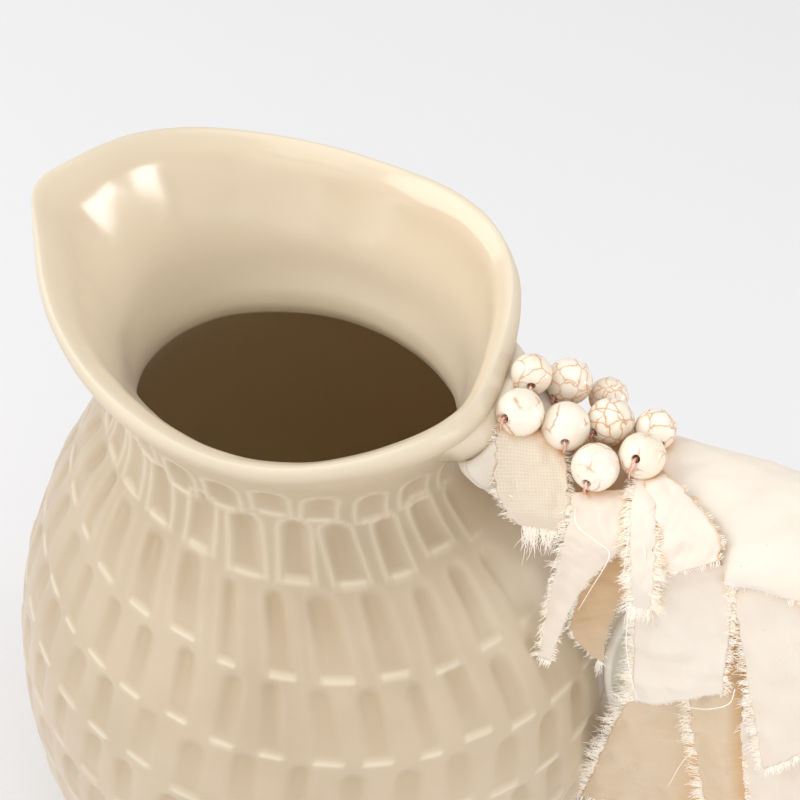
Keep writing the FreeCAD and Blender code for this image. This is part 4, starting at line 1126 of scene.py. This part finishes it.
# %% [markdown]
# ## The hanging tag
#
# Behind the strips hangs a flat oval piece of glazed clay with a raised, rounded rim. It could be an oval
# disc with its hole cut out, but the cut would leave long thin faces across the glaze. It is a plate with one
# hole, so its grid runs from the hole out to the oval outline on the front, and back on the other face. The
# glaze pools darker inside the rim, and its depth is stored on the points.

# %% Tag glaze
tag_glaze, tree, shader = new_finish("pale_tag_glaze", Roughness=0.2, Coat_Weight=0.4, Coat_Roughness=0.1)
where = own_place(tree)
colour = clouded(tree, where, 60.0, 0.3, 0.75, (254, 251, 241), (250, 247, 234))
colour = mixed(tree, point_value(tree, "pooled"), colour, screen(232, 229, 208))
feed(tree, shader.inputs["Base Color"], colour)
bump(tree, shader, noise(tree, where, 160.0, 2.0), 0.1, 0.0004)
print("tag finish:", tag_glaze.name)

# %% Tag: half its length, width and thickness, its hole, and the hole's distance from the top
TAG_HALF_LONG, TAG_HALF_WIDE, TAG_HALF_THICK, HOLE_RADIUS, HOLE_FROM_TOP = 38, 22.5, 1.8, 1.7, 4.5
low, high = (np.array(corner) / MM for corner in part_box("pendant"))
lean = math.radians(2)
long_way = UP * math.cos(lean) - OUT * math.sin(lean)
wide_way = unit(np.cross(FRONT, long_way))
tag_middle = (low + high) / 2
hole_offset = TAG_HALF_LONG - HOLE_FROM_TOP
turn = np.linspace(0, math.tau, 180, endpoint=False)
ray = np.stack([np.cos(turn), np.sin(turn)], axis=-1)
hole_edge = np.array([hole_offset, 0.0]) + HOLE_RADIUS * ray
quad_a = (ray[:, 0] / TAG_HALF_LONG) ** 2 + (ray[:, 1] / TAG_HALF_WIDE) ** 2
quad_b = 2 * hole_offset * ray[:, 0] / TAG_HALF_LONG ** 2
quad_c = (hole_offset / TAG_HALF_LONG) ** 2 - 1
reach_out = (-quad_b + np.sqrt(quad_b ** 2 - 4 * quad_a * quad_c)) / (2 * quad_a)
outline = np.array([hole_offset, 0.0]) + ray * reach_out[:, None]
share = np.concatenate([np.linspace(0, 0.9, 26)[:-1], 1 - 0.1 * np.cos(np.linspace(0, math.pi / 2, 14))])
flat = hole_edge[None] * (1 - share[:, None, None]) + outline[None] * share[:, None, None]
oval_share = np.sqrt((flat[..., 0] / TAG_HALF_LONG) ** 2 + (flat[..., 1] / TAG_HALF_WIDE) ** 2)
from_rim = (1 - oval_share) * 26
rounded = np.clip(1 - np.clip(1 - from_rim / TAG_HALF_THICK, 0, 1) ** 2, 0, 1)
half_thick = TAG_HALF_THICK * np.sqrt(rounded)
half_thick = half_thick - 0.75 * ease((from_rim - 2.4) / 1.6) - 0.25 * ease((from_rim - 5.0) / 2.5)
from_hole = np.linalg.norm(flat - np.array([hole_offset, 0.0]), axis=-1) - HOLE_RADIUS
half_thick = half_thick * (0.55 + 0.45 * ease(from_hole / 0.7))
face = tag_middle + flat[..., :1] * long_way + flat[..., 1:] * wide_way
plate = np.concatenate([face + half_thick[..., None] * FRONT, (face - half_thick[..., None] * FRONT)[::-1]])
pool = ease((from_rim - 2.2) / 1.2) * (0.45 + 0.55 * np.exp(-((from_rim - 4.2) / 1.6) ** 2))
tag = put_mesh("hanging_tag", plate, grid_faces(*plate.shape[:2], rows_close=True, columns_close=True),
               tag_glaze, values={"pooled": np.concatenate([pool, pool[::-1]])})
settle(tag, "pendant", "glazed_tag", "pendant")

# %% [markdown]
# ## The tag's twine
#
# A short loop of two-ply cotton twine goes through the tag's hole and up to the cloth. Its round section
# swells and narrows as it turns along the loop, which shows the two plies from one mesh, where two tubes
# would cut through each other.

# %% Twine: radius for its room, number of turns, and its swell
TWINE_RADIUS, TWINE_TURNS, TWINE_CORE, TWINE_SWELL = 0.6, 14, 0.42, 0.17
twine_low, twine_high = (np.array(corner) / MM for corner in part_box("pendant_twine"))
middle = (twine_low + twine_high) / 2
half_width = (twine_high - twine_low)[1] / 2 / math.cos(TURN) - TWINE_RADIUS
half_height = (twine_high - twine_low)[2] / 2 - TWINE_RADIUS
turn = np.linspace(0, math.tau, 160, endpoint=False)
rise = np.clip(np.sin(turn) * 1.4, -1, 1) * (half_height - half_width) + half_width * np.sin(turn)
loop = middle + FRONT * (half_width * np.cos(turn))[:, None] + UP * rise[:, None]
closed_loop = np.concatenate([loop[-1:], loop, loop[:1]])
ahead = unit(closed_loop[2:] - closed_loop[:-2])
across = np.broadcast_to(OUT, ahead.shape)
upright = unit(np.cross(ahead, across))
side = np.linspace(0, math.tau, 12, endpoint=False)[None, :]
twist = np.linspace(0, TWINE_TURNS * math.tau, 160, endpoint=False)[:, None]
bulge = TWINE_CORE + TWINE_SWELL * np.abs(np.cos(side + twist / 2))
round_way = across[:, None] * np.cos(side)[..., None] + upright[:, None] * np.sin(side)[..., None]
rope = loop[:, None] + round_way * bulge[..., None]
twine = put_mesh("tag_twine", rope, grid_faces(*rope.shape[:2], rows_close=True, columns_close=True),
                 thread_finish)
settle(twine, "pendant", "twine", "pendant_twine")

# %% [markdown]
# ## Floor and light
#
# The pitcher stands on a plain pale table in soft daylight from the left and above. A single sun would give
# hard shadows, and a bright world alone would give none, so wide area lamps give the soft edge of that light,
# and the world fills the shadows. The table is one large face, with a colour a little under white.

# %% Floor
pale_table, tree, shader = new_finish("pale_table", Roughness=0.7)
cloudy = noise(tree, own_place(tree), 3.0)
feed(tree, shader.inputs["Base Color"], mixed(tree, cloudy, screen(235, 235, 237), screen(233, 233, 235)))
floor_points = np.array([(-3000, -3000, 0), (3000, -3000, 0), (3000, 3000, 0), (-3000, 3000, 0)], float)
table = put_mesh("table_top", floor_points, [(0, 1, 2, 3)], pale_table, closed=False)
print("floor:", table.name)

# %% Light
world = bpy.data.worlds.new("soft_room")
world.use_nodes = True
backdrop = world.node_tree.nodes["Background"]
backdrop.inputs["Color"].default_value = screen(246, 246, 247)
backdrop.inputs["Strength"].default_value = 0.56
bpy.context.scene.world = world


def soft_lamp(name, place, target, size, power, colour):
    """Square area lamp at a place in metres, turned to face its target."""
    light = bpy.data.lights.new(name, "AREA")
    light.size, light.energy, light.color = size, power, colour
    lamp = bpy.data.objects.new(name, light)
    away = unit(np.array(place, float) - np.array(target, float))
    right = unit(np.cross(UP, away))
    turned = np.column_stack([right, np.cross(away, right), away])
    lamp.matrix_world = Matrix.Translation(place) @ Matrix(turned.tolist()).to_4x4()
    bpy.context.scene.collection.objects.link(lamp)
    print(f"{name}: {power} W")


LAMPS = (
    ("window_left", (-0.9, -0.25, 0.95), (0, 0, 0.15), 0.8, 6.5, (1.0, 0.99, 0.97)),
    ("ceiling", (0.05, 0.1, 1.4), (0.02, 0, 0.15), 1.3, 6.5, (1.0, 0.99, 0.97)),
    ("fill_front", (0.6, -1.1, 0.8), (0.05, 0, 0.15), 1.2, 3.6, (1.0, 0.985, 0.96)),
    ("bounce_right", (0.75, -0.35, 0.16), (0.05, 0, 0.12), 0.6, 1.2, (1.0, 0.95, 0.88)),
    ("low_left", (-0.55, -0.95, 0.22), (0.05, 0, 0.14), 0.7, 2.0, (1.0, 0.99, 0.97)),
    ("window_right", (1.15, 0.18, 0.32), (0, 0.02, 0.21), 0.24, 2.2, (1.0, 1.0, 1.0)))
for lamp_row in LAMPS:
    soft_lamp(*lamp_row)

# %% [markdown]
# ## Camera
#
# The photograph looks down at 48 degrees through a long lens, a little to the right of square on. Setting the
# camera by eye would drift, so its place, turn and lens were fitted to the mouth's oval and the belly's
# outline, and stand here as one matrix in metres and a lens in millimetres.

# %% Camera
lens = bpy.data.cameras.new("photo_camera")
lens.lens, lens.sensor_width = 94.57, 36.0
lens.clip_start, lens.clip_end = 0.01, 20.0
camera = bpy.data.objects.new("photo_camera", lens)
camera.matrix_world = Matrix((
    (0.96267, -0.24501, 0.11499, 0.066476),
    (0.25843, 0.70583, -0.65957, -0.313670),
    (0.08044, 0.66467, 0.74279, 0.545343),
    (0.0, 0.0, 0.0, 1.0)))
bpy.context.scene.collection.objects.link(camera)
bpy.context.scene.camera = camera
bpy.context.scene.view_settings.view_transform = "Standard"
print("lens, mm:", lens.lens)
